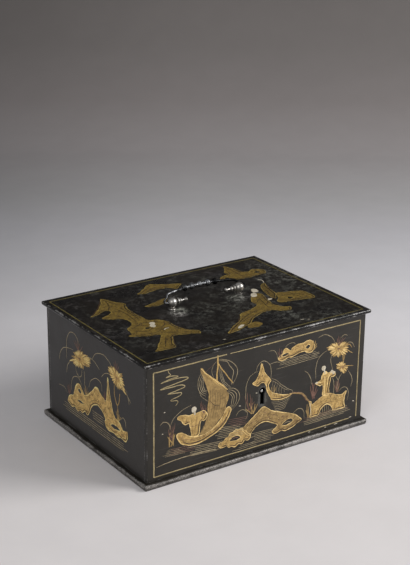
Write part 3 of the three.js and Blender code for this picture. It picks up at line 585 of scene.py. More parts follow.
def skinned(work: bmesh.types.BMesh, rings: Sequence[Sequence[bmesh.types.BMVert]],
            name: str) -> bpy.types.Mesh:
    """A closed skin over rings of vertices, as a mesh.

    Args:
        work: the bmesh that has the rings.
        rings: the rings in order. A ring may be a single vertex.
        name: the mesh's name.

    Returns:
        The mesh.
    """
    for low, high in zip(rings, rings[1:]):
        sides = max(len(low), len(high))
        for i in range(sides):
            j = (i + 1) % sides
            corners = [low[i % len(low)], low[j % len(low)], high[j % len(high)], high[i % len(high)]]
            unique = list(dict.fromkeys(corners))
            if len(unique) > 2:
                work.faces.new(unique)
    for ring in (rings[0], rings[-1]):
        if len(ring) > 2:
            work.faces.new(ring)
    return made(work, name)


def turned_mesh(name: str, profile: Sequence[Point], place: Matrix, sides: int = 40) -> bpy.types.Mesh:
    """A closed turned shape.

    Args:
        name: the mesh's name.
        profile: pairs of radius and height in millimetres, from the bottom up, both ends on the axis.
        place: where its axis, local Z, stands, in metres.
        sides: steps round the axis.

    Returns:
        The mesh.
    """
    work = bmesh.new()
    turn = [math.tau * i / sides for i in range(sides)]
    rings = [[work.verts.new(place @ vec(radius * math.cos(a), radius * math.sin(a), height))
              for a in (turn if radius > 1e-6 else [0.0])] for radius, height in profile]
    return skinned(work, rings, name)


def boolean(target: bpy.types.Mesh, tools: Sequence[bpy.types.Mesh], operation: str) -> bpy.types.Mesh:
    """A solid with other solids joined to it (UNION) or cut from it (DIFFERENCE)."""
    piece = link("boolean_target", target)
    helpers = [link("boolean_tool", tool) for tool in tools]
    for helper in helpers:
        modifier = piece.modifiers.new("join", "BOOLEAN")
        modifier.operation = operation
        modifier.solver = "EXACT"
        modifier.object = helper
    mesh = evaluated_mesh(piece)
    for helper in helpers:
        bpy.data.objects.remove(helper)
    return mesh


# Stage

@dataclass
class PhotoCamera:
    """The camera that took the photograph, as its perspective shows."""

    azimuth: float = -34.226
    elevation: float = 19.881
    roll: float = 0.539
    distance: float = 1530.4
    across: float = 0.58
    rise: float = 152.98
    focal_pixels: float = 1363.8
    frame_height: int = 565
    sensor: float = 36.0

    def build(self) -> None:
        """Makes it the scene's camera."""
        a, e, r = (math.radians(angle) for angle in (self.azimuth, self.elevation, self.roll))
        back = Vector((math.sin(a) * math.cos(e), -math.cos(a) * math.cos(e), math.sin(e)))
        right = UP.cross(back).normalized()
        up = back.cross(right)
        level_right = right * math.cos(r) + up * math.sin(r)
        level_up = up * math.cos(r) - right * math.sin(r)
        place = (back * self.distance + level_right * self.across + level_up * self.rise) * MM
        data = bpy.data.cameras.new("photo_camera")
        data.sensor_fit = "VERTICAL"
        data.sensor_height = self.sensor
        data.lens = self.focal_pixels * self.sensor / self.frame_height
        data.clip_start = 0.05
        camera = link("photo_camera", data)
        turn = Matrix((level_right, level_up, back)).transposed().to_4x4()
        camera.matrix_world = Matrix.Translation(place) @ turn
        bpy.context.scene.camera = camera


@dataclass
class Studio:
    """A pale paper sweep, with shade painted darker up it, a large lamp at the right and a soft fill."""

    sweep_turn: float = -34.2
    front: float = -3.2
    back: float = 1.15
    half_width: float = 3.5
    bend: float = 0.55
    bend_steps: int = 14
    height: float = 2.6
    aim_height: float = 0.08
    sky: Colour = (0.93, 0.96, 1.0)
    sky_strength: float = 0.42
    lamps: tuple[tuple[str, Triple, float, float], ...] = (
        ("key_lamp", (1.7, -1.35, 1.35), 1.5, 52.0), ("fill_lamp", (-1.6, -1.5, 1.6), 1.8, 19.0))
    painted_falloff: tuple[tuple[float, Colour], ...] = (
        (0.0, (0.72, 0.68, 0.668)), (0.2, (0.715, 0.69, 0.70)), (0.3, (0.59, 0.575, 0.59)),
        (0.37, (0.505, 0.49, 0.505)), (0.45, (0.42, 0.405, 0.405)), (0.59, (0.35, 0.322, 0.318)),
        (0.69, (0.243, 0.219, 0.212)), (0.78, (0.185, 0.168, 0.16)), (1.0, (0.125, 0.113, 0.106)))

    def build(self) -> None:
        """Makes the sweep, a large soft lamp at the right, a weak one at the left, and the world."""
        self.build_sweep()
        for name, place, size, power in self.lamps:
            data = bpy.data.lights.new(name, "AREA")
            data.shape = "DISK"
            data.size = size
            data.energy = power
            lamp = link(name, data)
            lamp.location = place
            away = Vector(place) - Vector((0, 0, self.aim_height))
            lamp.rotation_euler = away.to_track_quat("Z", "Y").to_euler()
        world = bpy.data.worlds.new("studio_world")
        world.use_nodes = True
        light = world.node_tree.nodes["Background"].inputs
        light["Color"].default_value = (*self.sky, 1.0)
        light["Strength"].default_value = self.sky_strength
        bpy.context.scene.world = world
        log.info("studio ready")

    def build_sweep(self) -> None:
        """The floor, which bends up into the backdrop."""
        side = [(self.front, 0.0), *arc((self.back, self.bend), self.bend, -90, 0, self.bend_steps),
                (self.back + self.bend, self.height)]
        turn = Matrix.Rotation(math.radians(self.sweep_turn), 4, "Z")
        verts = [turn @ Vector((x, y, z)) for y, z in side for x in (-self.half_width, self.half_width)]
        faces = [(2 * i, 2 * i + 1, 2 * i + 3, 2 * i + 2) for i in range(len(side) - 1)]
        mesh = bpy.data.meshes.new("paper_sweep")
        mesh.from_pydata(verts, [], faces)
        mesh.shade_smooth()
        link("paper_sweep", mesh, self.paper())

    def paper(self) -> bpy.types.Material:
        """Grey-white paper, with painted shade: darker up the backdrop and towards the left."""
        material, sheet = new_material("studio_paper")
        place = sheet.place()
        angle = math.radians(-self.sweep_turn)
        turned = sheet.step("ShaderNodeMapping", Vector=place, Rotation=(0, 0, angle))
        across, along, rise = sheet.axes(turned)
        travel = sheet.math("MAXIMUM", along, -1.0) + rise
        ramp = sheet.node("ShaderNodeValToRGB", sheet.spread(travel, -0.2, 2.2, kind="LINEAR"))
        elements = ramp.color_ramp.elements
        while len(elements) < len(self.painted_falloff):
            elements.new(0.5)
        for element, (position, colour) in zip(elements, self.painted_falloff):
            element.position = position
            element.color = (*colour, 1.0)
        # Painted shade: darker towards the left, most of all some way back on the floor.
        side = sheet.spread(across, -0.55, 0.02, 0.35, 0.0)
        far = sheet.spread(along, -0.2, 0.45, 0.1, 1.1) * sheet.spread(along, 0.8, 1.4, 1.0, 0.6)
        painted_side_shade = sheet.blend(side * far, (1.0, 1.0, 1.0), (0.0, 0.0, 0.0))
        tone = sheet.blend(1.0, Wire(sheet, ramp.outputs[0]), painted_side_shade, "MULTIPLY")
        grain = sheet.spread(sheet.noise(place, 18, 4), 0.3, 0.7, 0.97)
        sheet.shade(Base_Color=sheet.blend(1.0, tone, grain, "MULTIPLY"), Roughness=0.9,
                    Specular_IOR_Level=0.1)
        return material


# The casket

@dataclass
class Castings:
    """The five lacquered plates of the case, and the lid."""

    bevel: float = 0.35
    wall: float = 4.5
    keyhole_x: float = 2.2
    keyhole_z: float = 73.0
    slot_drop: float = 12.4
    lip_depth: float = 4.0
    base_rub: float = 0.5
    # Where the lid is scuffed round the posts, with the balls' reflections painted in as well.
    scuffs_and_ball_reflections: tuple[Triple, ...] = ((-37, -4, 13), (-29, 4, 8), (42, 2, 13))

    def build(self) -> None:
        """Dresses each plate in lacquer of its own."""
        for node in ("base_plate", "front_wall", "rear_wall", "left_wall", "right_wall", "lid_plate"):
            body = Body.LID if node == "lid_plate" else Body.CASE
            refined(node, body, Slot.LACQUER, self.finish(node).build(), self.bevel, "casting")

    def finish(self, node: str) -> Lacquer:
        """The lacquer of one plate, by its node."""
        low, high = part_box(node)
        low = low.copy()
        if node == "left_wall":
            high.x = low.x + self.wall * MM
        elif node == "right_wall":
            low.x = high.x - self.wall * MM
        elif node == "lid_plate":
            low.z += self.lip_depth * MM
        box = {"name": f"lacquer_{node}", "centre": (low + high) / 2, "half": (high - low) / 2}
        if node == "lid_plate":
            scuffs_and_ball_reflections = tuple(tuple(value * MM for value in scuff) for scuff in self.scuffs_and_ball_reflections)
            return Lacquer(**box, reach=2.3 * MM, raggedness=1.15, black=(0.0020, 0.0020, 0.0022),
                           brown=(0.0065, 0.0048, 0.0031), cloud=(0.36, 0.345, 0.33), haze=0.32,
                           sheen=0.26, painted_light_side=90 * MM, worn=(0.36, 0.345, 0.33), scuffs_and_ball_reflections=scuffs_and_ball_reflections,
                           gloss=0.27)
        if node == "base_plate":
            box["half"].z *= self.base_rub
            return Lacquer(**box, reach=5.5 * MM, raggedness=0.6, worn=(0.33, 0.305, 0.28),
                           shaded_to=3.6 * MM)
        if node == "front_wall":
            return Lacquer(**box, keyhole=(self.keyhole_x * MM, self.keyhole_z * MM, self.slot_drop * MM))
        if node in ("left_wall", "right_wall"):
            # Painted light: the side walls' lacquer is made lighter than the other plates'.
            return Lacquer(**box, black=(0.0195, 0.0172, 0.0150), brown=(0.0255, 0.0222, 0.0190))
        return Lacquer(**box)


@dataclass
class Handle:
    """The ball-headed posts and the turned bail that swings between them."""

    x: float = 6.5
    y: float = 9.0
    post_span: float = 88.0
    pivot_rise: float = 8.2
    ball: float = 5.9
    neck: float = 2.5
    foot: float = 4.4
    foot_height: float = 1.5
    bore: float = 2.0
    shank: float = 2.2
    trunnion: float = 1.55
    arm_sides: int = 20
    bail_height: float = 15.4
    bow: float = 4.0
    bow_start: float = 3.0
    bow_full: float = 13.0
    rest_angle: float = 33.0
    finial_reach: float = 19.5
    grip: tuple[Point, ...] = (
        (0, 3.3), (1.7, 2.9), (2.8, 1.7), (4.4, 1.7), (5.2, 2.4), (6, 1.7), (7.2, 1.7), (8.4, 3.3),
        (10.4, 4.15), (12.4, 3.3), (13.4, 1.8), (14.6, 1.6), (17.2, 1.6), (18.2, 3.2), (19.8, 3.8),
        (21.4, 3.2), (22.4, 1.6), (27, 1.5), (33, 1.45), (38, 1.6))
    lid_top: float = field(init=False)
    pivot_z: float = field(init=False)

    def __post_init__(self) -> None:
        """Takes the lid's height from its node."""
        self.lid_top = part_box("lid_plate")[1].z / MM
        self.pivot_z = self.lid_top + self.pivot_rise

    def build(self) -> None:
        """Makes the posts, the bail and its finials."""
        steel = Metal("handle_steel", (0.46, 0.435, 0.40), (0.07, 0.064, 0.058), 0.75, 0.27, 3.4).build()
        # Painted shade makes the bail's right end near black; the rest is tarnished steel.
        dark = Metal("tarnished_steel", (0.30, 0.30, 0.305), (0.008, 0.008, 0.008), 1.0, 0.24, 6.5,
                     depth=0.24 * MM, painted_shade_from=12 * MM).build()
        iron = Metal("handle_iron", (0.09, 0.085, 0.08), (0.05, 0.035, 0.025), 0.6, 0.5, 2.0).build()
        for side, sign in (("left", -1), ("right", 1)):
            post = link(f"ball_post_{side}", self.post(self.x + sign * self.post_span / 2), steel)
            fitted(post, Body.LID, Slot.HANDLE, f"handle_post_{side}")
            for part in ("washer", "nut"):
                refined(f"handle_{part}_{side}", Body.LID, Slot.IRON, iron, 0.15, "turned")
        swing = (Matrix.Translation(vec(self.x, self.y, self.pivot_z))
                 @ Matrix.Rotation(math.radians(self.rest_angle - 90), 4, "X"))
        fitted(link("turned_bail", self.bail(swing), dark), Body.BAIL, Slot.HANDLE, "handle_bail")
        for side, sign in (("left", 1), ("right", -1)):
            place = (swing @ Matrix.Translation(vec(-sign * self.post_span / 2, 0, 0))
                     @ Matrix.Rotation(math.radians(90 * sign), 4, "Y"))
            name = f"beaded_finial_{side}"
            mesh = smooth(turned_mesh(name, self.finial_profile(), place))
            fitted(link(name, mesh, steel), Body.BAIL, Slot.HANDLE, f"bail_finial_{side}")

    def post(self, x: float) -> bpy.types.Mesh:
        """One post at a place along the lid: a shank, a round foot, a waisted neck and a bored ball."""
        foot = self.lid_top + 0.2
        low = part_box("handle_post_left")[0].z / MM
        start = math.degrees(math.asin(self.neck / self.ball))
        profile = [(0, low), (self.shank - 0.3, low), (self.shank, low + 0.3), (self.shank, foot),
                   (self.foot, foot), *arc((self.foot - 0.5, foot + self.foot_height * 0.6), 0.5, 0, 90, 4),
                   (self.neck + 0.5, foot + self.foot_height), (self.neck, foot + self.foot_height + 0.35),
                   *arc((0, self.pivot_z), self.ball, start - 90, 90, 26)[:-1], (0, self.pivot_z + self.ball)]
        body = turned_mesh("post", profile, Matrix.Translation(vec(x, self.y, 0)))
        end = self.ball + 1
        hole = [(0, -end), (self.bore, -end), (self.bore, end), (0, end)]
        place = Matrix.Translation(vec(x, self.y, self.pivot_z)) @ Matrix.Rotation(math.radians(90), 4, "Y")
        return smooth(boolean(body, [turned_mesh("bore", hole, place)], "DIFFERENCE"), 40)

    def bail(self, swing: Matrix) -> bpy.types.Mesh:
        """The bail, a turned grip and an arm round each ball, swung from upright to its rest."""
        side = flowing(self.grip, 5)
        end = side[-1][0]
        profile = [(0, -end), *((radius, -along) for along, radius in reversed(side)),
                   *((radius, along) for along, radius in side[1:]), (0, end)]
        place = Matrix.Translation(vec(0, 0, self.bail_height)) @ Matrix.Rotation(math.radians(90), 4, "Y")
        grip = turned_mesh("grip", profile, place, 32)
        body = boolean(grip, [self.arm(sign) for sign in (-1, 1)], "UNION")
        for vertex in body.vertices:
            x, _, z = vertex.co / MM
            share = min(max((z - self.bow_start) / (self.bow_full - self.bow_start), 0.0), 1.0)
            vertex.co.z -= self.bow * MM * (x / (self.post_span / 2)) ** 2 * share
        body.transform(swing)
        return smooth(body, 40)

    def arm(self, sign: int) -> bpy.types.Mesh:
        """The left (-1) or right (1) arm of the upright bail, from inside the ball round it to the grip."""
        half = self.post_span / 2
        face = half + self.ball
        knots = [(half - self.ball - 3.4, 0), (half, 0), (face + 0.3, 0), (face + 1.9, 0.8),
                 (face + 2.3, 2.8), (face + 0.9, 6.2), (half + 3.6, 9.6), (half + 2.4, 12.4),
                 (half + 0.2, 14.8), (half - 3.4, self.bail_height), (half - 7.5, self.bail_height)]
        path = through(knots, 5)
        work = bmesh.new()
        rings = []
        for before, (x, z), after in zip([path[0], *path], path, [*path[1:], path[-1]]):
            along = (Vector(after) - Vector(before)).normalized()
            across = Vector((-along.y, along.x))
            rings.append([])
            for k in range(self.arm_sides):
                a = math.tau * k / self.arm_sides
                off = across * (self.trunnion * math.cos(a))
                spot = vec(sign * (x + off.x), self.trunnion * math.sin(a), z + off.y)
                rings[-1].append(work.verts.new(spot))
        return skinned(work, rings, "arm")

    def finial_profile(self) -> list[Point]:
        """Collar, bead and tip of a finial, from the ball inwards."""
        inner = self.ball + 0.3
        reach = self.finial_reach
        collar = [(inner, 3.7), (inner + 0.9, 4.1), (inner + 1.9, 3.7), (inner + 2.2, 2.4), (inner + 3, 2.6),
                  (inner + 4.2, 2.9), (inner + 5.4, 2.4), (inner + 6.2, 1.3), (reach - 4, 1.3),
                  (reach - 3, 2.2), (reach - 1.9, 2.5), (reach - 0.7, 2.1), (reach, 0.6)]
        return [(0, inner), *((radius, along) for along, radius in flowing(collar, 4)), (0, reach)]


@dataclass
class Ironwork:
    """Hinges and lock, in bare dark iron and bright steel."""

    def build(self) -> None:
        """Dresses each piece."""
        iron = Metal("dark_iron", (0.115, 0.11, 0.105), (0.06, 0.035, 0.02), 0.6, 0.42).build()
        bright = Metal("bright_steel", (0.62, 0.62, 0.61), (0.2, 0.17, 0.14), 0.35, 0.22, 2.0).build()
        for side in ("left", "right"):
            refined(f"hinge_case_leaf_{side}", Body.CASE, Slot.IRON, iron, 0.2, "forged")
            refined(f"hinge_lid_leaf_{side}", Body.LID, Slot.IRON, iron, 0.2, "forged")
            refined(f"hinge_pin_{side}", Body.CASE, Slot.BRIGHT, bright, 0.12, "turned")
            refined(f"bolt_stud_{side}", Body.CASE, Slot.BRIGHT, bright, 0.12, "turned")
        for node in ("lock_plate", "lock_case"):
            refined(node, Body.CASE, Slot.IRON, iron, 0.2, "pressed")
        refined("bolt_spring", Body.CASE, Slot.BRIGHT, bright, 0.1, "sprung")
        refined("key_pin", Body.CASE, Slot.BRIGHT, bright, 0.12, "turned")
        refined("lock_bolt", Body.BOLT, Slot.BRIGHT, bright, 0.2, "filed")
        refined("catch_plate", Body.LID, Slot.IRON, iron, 0.2, "forged")


class Head(Enum):
    """The heads of screws and rivets."""

    ROUND = "slotted_round"
    SUNK = "slotted_countersunk"
    DOMED = "domed"


@dataclass(frozen=True)
class Fastener:
    """One kind of screw or rivet, in millimetres. Without an aim, its heads face the case's middle."""

    name: str
    body: Body
    count: int
    aim: Vector | None
    form: Head
    head: float
    rise: float
    shank: float

    def template(self, length: float) -> bpy.types.Mesh:
        """One of a whole length, with the top of its head at the origin and its shank along -Z."""
        profile = [(0, -length), (self.shank - 0.3, -length), (self.shank, 0.5 - length),
                   (self.shank, -self.rise)]
        if self.form is Head.SUNK:
            profile += [(self.head, -0.15), (self.head, 0), (0, 0)]
        else:
            flat = self.head * (0.5 if self.form is Head.ROUND else 0.1)
            for step in range(7):
                a = math.tau / 4 * step / 6
                profile.append((flat + (self.head - flat) * math.cos(a), self.rise * (math.sin(a) - 1)))
            profile.append((0, 0))
        body = turned_mesh(self.name, profile, Matrix(), 28)
        if self.form is Head.DOMED:
            return smooth(body, 40)
        work = bmesh.new()
        size = vec(self.head * 3, self.rise * 0.4, self.rise * 0.8)
        bmesh.ops.create_cube(work, size=1.0, matrix=Matrix.Diagonal((*size, 1)))
        return smooth(boolean(body, [made(work, "slot", False)], "DIFFERENCE"), 34)


GEOMETRY = {"Geometry": "Geometry"}


def finish_tree(sheet: Sheet, geometry_wire: Wire, material: Wire) -> bpy.types.NodeTree:
    """Ends a Geometry Nodes tree with plain geometry that has one material."""
    whole = sheet.step("GeometryNodeRealizeInstances", geometry_wire)
    sheet.node("NodeGroupOutput", sheet.step("GeometryNodeSetMaterial", Geometry=whole, Material=material))
    return sheet.tree


@cache
def fastener_tree() -> bpy.types.NodeTree:
    """The Geometry Nodes tree that sets a fastener on each point.

    Returns:
        A tree whose inputs are the points, which carry an aim, the Part, the Seed of each one's turn about
        its own axis and the Finish.
    """
    inputs = GEOMETRY | {"Part": "Object", "Seed": "Int", "Finish": "Material"}
    sheet, given = new_tree("fasteners on points", "GeometryNodeTree", inputs, GEOMETRY)
    aim = sheet.step("GeometryNodeInputNamedAttribute", data_type="FLOAT_VECTOR", Name="aim",
                     output="Attribute")
    part = sheet.step("GeometryNodeObjectInfo", Object=given["Part"], output="Geometry")
    rows = sheet.step("GeometryNodeInstanceOnPoints", Points=given["Geometry"], Instance=part,
                      Rotation=sheet.step("FunctionNodeAlignRotationToVector", axis="Z", Vector=aim))
    chance = sheet.step("FunctionNodeRandomValue", data_type="FLOAT", Seed=given["Seed"], output=1)
    spin = sheet.step("FunctionNodeAxisAngleToRotation", Angle=chance * math.pi)
    turned = sheet.step("GeometryNodeRotateInstances", Instances=rows, Rotation=spin, Local_Space=True)
    return finish_tree(sheet, turned, given["Finish"])


@cache
def brush_tree() -> bpy.types.NodeTree:
    """The Geometry Nodes tree that lays brush strokes along curves.

    Returns:
        A tree whose inputs are the curves, the Flatness of a stroke, its Sides and its Paint. Each
        point's radius is half the stroke's width there.
    """
    inputs = GEOMETRY | {"Flatness": "Float", "Sides": "Int", "Paint": "Material"}
    sheet, given = new_tree("brush strokes", "GeometryNodeTree", inputs, GEOMETRY)
    level = sheet.step("GeometryNodeSetCurveNormal", mode="Z_UP", Curve=given["Geometry"])
    ring = sheet.step("GeometryNodeCurvePrimitiveCircle", Resolution=given["Sides"], Radius=1.0)
    squeeze = sheet.step("ShaderNodeCombineXYZ", X=1.0, Y=given["Flatness"], Z=1.0)
    section = sheet.step("GeometryNodeTransform", Geometry=ring, Scale=squeeze)
    sweep = sheet.step("GeometryNodeCurveToMesh", Curve=level, Profile_Curve=section,
                       Scale=sheet.step("GeometryNodeInputRadius"), Fill_Caps=True)
    return finish_tree(sheet, sweep, given["Paint"])


def grown(piece: bpy.types.Object, tree: bpy.types.NodeTree, **values: object) -> bpy.types.Mesh:
    """What a Geometry Nodes tree makes of a piece.

    Args:
        piece: the piece, which is deleted.
        tree: the tree.
        values: its inputs by name, set by their sockets' identifiers.

    Returns:
        A plain mesh.
    """
    modifier = piece.modifiers.new("nodes", "NODES")
    modifier.node_group = tree
    sockets = {item.name: item.identifier for item in tree.interface.items_tree if item.in_out == "INPUT"}
    for name, value in values.items():
        modifier[sockets[name]] = value
    return evaluated_mesh(piece)


@dataclass
class Fasteners:
    """Every screw and rivet."""

    seed: int = 5
    kinds: tuple[Fastener, ...] = (
        Fastener("wall_screw", Body.CASE, 8, None, Head.ROUND, 3.2, 2.0, 1.7),
        Fastener("base_screw", Body.CASE, 4, -UP, Head.SUNK, 4.2, 2.6, 2.0),
        Fastener("lock_screw", Body.CASE, 4, Vector((0, 1, 0)), Head.ROUND, 2.8, 1.6, 1.5),
        Fastener("hinge_rivet", Body.CASE, 4, Vector((0, 1, 0)), Head.DOMED, 2.6, 1.1, 1.5),
        Fastener("leaf_screw", Body.LID, 4, -UP, Head.ROUND, 2.6, 1.4, 1.4),
        Fastener("catch_screw", Body.LID, 2, -UP, Head.ROUND, 2.6, 1.4, 1.4))

    def build(self) -> None:
        """Sets each kind on its points."""
        iron = Metal("screw_iron", (0.17, 0.165, 0.155), (0.06, 0.038, 0.024), 0.6, 0.38, 2.0).build()
        for kind in self.kinds:
            self.place(kind, iron)

    def place(self, kind: Fastener, iron: bpy.types.Material) -> None:
        """Sets one kind of fastener where its nodes are, with its finish."""
        nodes = [f"{kind.name}_{i + 1:02d}" for i in range(kind.count)]
        spots = []
        aims = []
        length = 0.0
        for node in nodes:
            low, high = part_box(node)
            middle = (low + high) / 2
            aim = kind.aim or Vector((0, -math.copysign(1.0, middle.y), 0))
            reach = abs((high - low).dot(aim)) / 2
            length = 2 * reach / MM
            spots.append(middle + aim * reach)
            aims.extend(aim)
        points = bpy.data.meshes.new("points")
        points.from_pydata(spots, [], [])
        points.attributes.new("aim", "FLOAT_VECTOR", "POINT").data.foreach_set("vector", aims)
        template = link("fastener", kind.template(length))
        mesh = grown(link("fasteners", points), fastener_tree(), Part=template, Seed=self.seed, Finish=iron)
        bpy.data.objects.remove(template)
        mesh.materials.clear()
        fitted(link(f"{kind.name}s", mesh, iron), kind.body, Slot.IRON, *nodes)


# Painted decoration

class Tone(Enum):
    """The paints of the decoration, from the lowest layer to the highest."""

    WASH = "thin_gilding"
    GOLD = "gilding"
    LINE = "gilt_lines"
    FRAME = "border_lines"
    RED = "russet_lines"
    INK = "ink_lines"
    RIM = "bright_rims"
    PALE = "pale_touches"


@dataclass(frozen=True)
class Paint:
    """One paint of the decoration, as thin as brushed size and bronze powder."""

    name: str
    colour: Colour
    deep: Colour
    bare: float
    glaze: float
    ground: Colour = (0.014, 0.012, 0.0105)
    metallic: float = 0.2
    roughness: float = 0.46

    def build(self) -> bpy.types.Material:
        """The material: mottled paint, rubbed through to the lacquer in places."""
        material, sheet = new_material(self.name)
        place = sheet.place()
        grain = sheet.group(patina(), Scale=1.6)["Grain"]
        streak = sheet.noise(place, 190, 4, 0.65, 0.6)
        tone = sheet.blend(sheet.spread(streak, 0.34, 0.66), self.deep, self.colour)
        glazed = sheet.spread(sheet.noise(place, 150, 5, 0.68, 0.5), 0.5, 0.68, 0.0, self.glaze)
        tone = sheet.blend(glazed, tone, tinted(self.deep, 0.5, 0.42, 0.36))
        rubbed = sheet.spread(sheet.noise(place, 620, 4, 0.7), self.bare + 0.1, self.bare + 0.2)
        rubbed = rubbed * sheet.spread(sheet.noise(place, 60, 3), 0.3, 0.6, 0.35)
        height = streak + grain * 0.4 - rubbed * 0.5
        sheet.shade(Base_Color=sheet.blend(rubbed, tone, self.ground),
                    Metallic=self.metallic - rubbed * self.metallic, Roughness=grain * 0.12 + self.roughness,
                    Normal=sheet.bump(height, 0.04 * MM, 0.6))
        return material


def traced(trail: Trail) -> list[Point]:
    """The points of a trail, which may be written as text: x and y, then a comma, and so on."""
    if isinstance(trail, str):
        return [tuple(float(value) for value in pair.split()) for pair in trail.split(",")]
    return list(trail)


def facing(origin: Triple, across: Vector, up: Vector, flip: int = 1) -> Matrix:
    """The place of a drawing on a face.

    Args:
        origin: where the drawing's zero lies.
        across, up: the face's directions for the drawing's two axes.
        flip: -1 if the drawing is mirrored, so that it still stands outwards.

    Returns:
        The matrix from the drawing to the row frame.
    """
    out = across.cross(up) * flip
    return Matrix.Translation(Vector(origin)) @ Matrix((across, up, out)).transposed().to_4x4()


def within(spot: Point, loop: Sequence[Point]) -> bool:
    """Whether a point lies inside a closed outline."""
    inside = False
    for (x0, y0), (x1, y1) in zip(loop, [*loop[1:], loop[0]]):
        if (y0 > spot[1]) != (y1 > spot[1]) and spot[0] < x0 + (x1 - x0) * (spot[1] - y0) / (y1 - y0):
            inside = not inside
    return inside


@dataclass
class Drawing:
    """Shapes and brush strokes on one face, in millimetres across and up as seen from outside."""

    seed: int
    sink: float = 0.05
    lift: float = 0.03
    layer: float = 0.012
    creep: float = 0.0006
    flatness: float = 0.07
    sides: int = 6
    fills: dict[Tone, list[tuple[list[list[Point]], float]]] = field(default_factory=dict)
    strokes: dict[Tone, list[tuple[list[Point], list[float]]]] = field(default_factory=dict)

    def __post_init__(self) -> None:
        """Seeds the hand's small irregularities."""
        self.hand = random.Random(self.seed)
        self.count = 0

    def follow(self, notes: str) -> None:
        """Draws what notes say.

        Args:
            notes: the notes, parted by semicolons. Each is a form, a tone and the form's sizes, then a
                colon and the form's trails, parted by bars.
        """
        forms = {"line": self.lines, "fill": self.fill, "shape": self.shape, "fan": self.fan,
                 "water": self.water, "blossom": self.blossom, "head": self.head}
        for note in notes.split(";"):
            head, _, trails = note.partition(":")
            form, tone, *sizes = head.split()
            forms[form](Tone[tone.upper()], trails.split("|"), *map(float, sizes))

    def wobbled(self, points: Sequence[Point], amount: float) -> list[Point]:
        """Points moved a little, by an amount in millimetres, as an unsteady hand moves them."""
        phases = [self.hand.uniform(0, math.tau) for _ in range(4)]
        rates = [self.hand.uniform(0.35, 0.6), self.hand.uniform(0.8, 1.3)]
        result = []
        travelled = 0.0
        before = points[0]
        for point in points:
            travelled += math.dist(before, point)
            before = point
            slow, quick = travelled * rates[0], travelled * rates[1]
            across = math.sin(slow + phases[0]) + 0.6 * math.sin(quick + phases[1])
            up = math.sin(slow + phases[2]) + 0.6 * math.sin(quick + phases[3])
            result.append((point[0] + across * amount, point[1] + up * amount))
        return result

    def fill(self, tone: Tone, trails: Sequence[Trail], wobble: float = 0.15,
             steps: int = 4) -> list[list[Point]]:
        """A patch of paint.

        Args:
            tone: its paint.
            trails: points of its outline, then of each hole, smooth between them.
            wobble: how unsteady its edge is.
            steps: steps between points.

        Returns:
            The loops of its edge, the outer one first.
        """
        loops = [self.wobbled(round_off(traced(trail), steps), wobble) for trail in trails]
        self.fills.setdefault(tone, []).append((loops, self.count * self.creep))
        self.count += 1
        return loops

    def shape(self, tone: Tone, trails: Sequence[Trail], wobble: float = 0.15, rim: float = 0.95,
              marks: float = 0.045) -> None:
        """A modelled patch: a bright rim, a brown shadow inside its lower right edge, and brush marks.

        Args:
            tone: its paint.
            trails: points of its outline, then of each hole.
            wobble: how unsteady its edge is.
            rim: width of the bright rim.
            marks: brush marks per square millimetre.
        """
        loops = self.fill(tone, trails, wobble)
        for loop in loops:
            self.rim(loop, rim)
        self.shadow(loops[0], rim * 1.5)
        self.dapple(loops, marks)

    def rim(self, loop: Sequence[Point], width: float) -> None:
        """A bright line of uneven width along a closed edge."""
        phase = self.hand.uniform(0, math.tau)
        closed = [*loop, loop[0]]
        travelled = 0.0
        half = []
        for before, point in zip([closed[0], *closed], closed):
            travelled += math.dist(before, point)
            slow, quick = travelled * 0.23 + phase, travelled * 0.9 + 2 * phase
            press = 0.72 + 0.33 * math.sin(slow) + 0.2 * math.sin(quick)
            half.append(width / 2 * max(press, 0.12))
        self.strokes.setdefault(Tone.RIM, []).append((closed, half))

    def shadow(self, loop: Sequence[Point], inset: float) -> None:
        """Brown strokes, some way inside the edges of a patch that face down and to the right."""
        turned = sum(x0 * y1 - x1 * y0 for (x0, y0), (x1, y1) in zip(loop, [*loop[1:], loop[0]]))
        sign = 1 if turned > 0 else -1
        runs: list[list[Point]] = [[]]
        for before, point, after in zip([loop[-1], *loop], loop, [*loop[1:], loop[0]]):
            along = Vector((after[0] - before[0], after[1] - before[1])).normalized() * sign
            if along.y * 0.6 + along.x * 0.8 > 0.25:
                runs[-1].append((point[0] - along.y * inset, point[1] + along.x * inset))
            elif runs[-1]:
                runs.append([])
        for run in runs:
            if len(run) > 5:
                self.stroke(Tone.INK, run[::3], inset * 0.9, 0.3, 0.3, 0.1, 3)

    def dapple(self, loops: Sequence[Sequence[Point]], density: float) -> None:
        """Short brush marks over a patch, with some density per square millimetre of the box round it."""
        xs, ys = zip(*loops[0])
        lean = self.hand.uniform(0.3, 1.2)
        for _ in range(int((max(xs) - min(xs)) * (max(ys) - min(ys)) * density)):
            spot = (self.hand.uniform(min(xs), max(xs)), self.hand.uniform(min(ys), max(ys)))
            angle = lean + self.hand.uniform(-0.6, 0.6)
            reach = self.hand.uniform(0.8, 1.7)
            ends = [(spot[0] + side * reach * math.cos(angle), spot[1] + side * reach * math.sin(angle))
                    for side in (-1, 1)]
            if not all(within(end, loops[0]) for end in ends):
                continue
            if any(within(spot, hole) for hole in loops[1:]):
                continue
            tone = self.hand.choice((Tone.INK, Tone.INK, Tone.INK, Tone.RED, Tone.RIM))
            self.stroke(tone, [ends[0], spot, ends[1]], self.hand.uniform(0.35, 0.7), 0.4, 0.2, 0.15, 2)

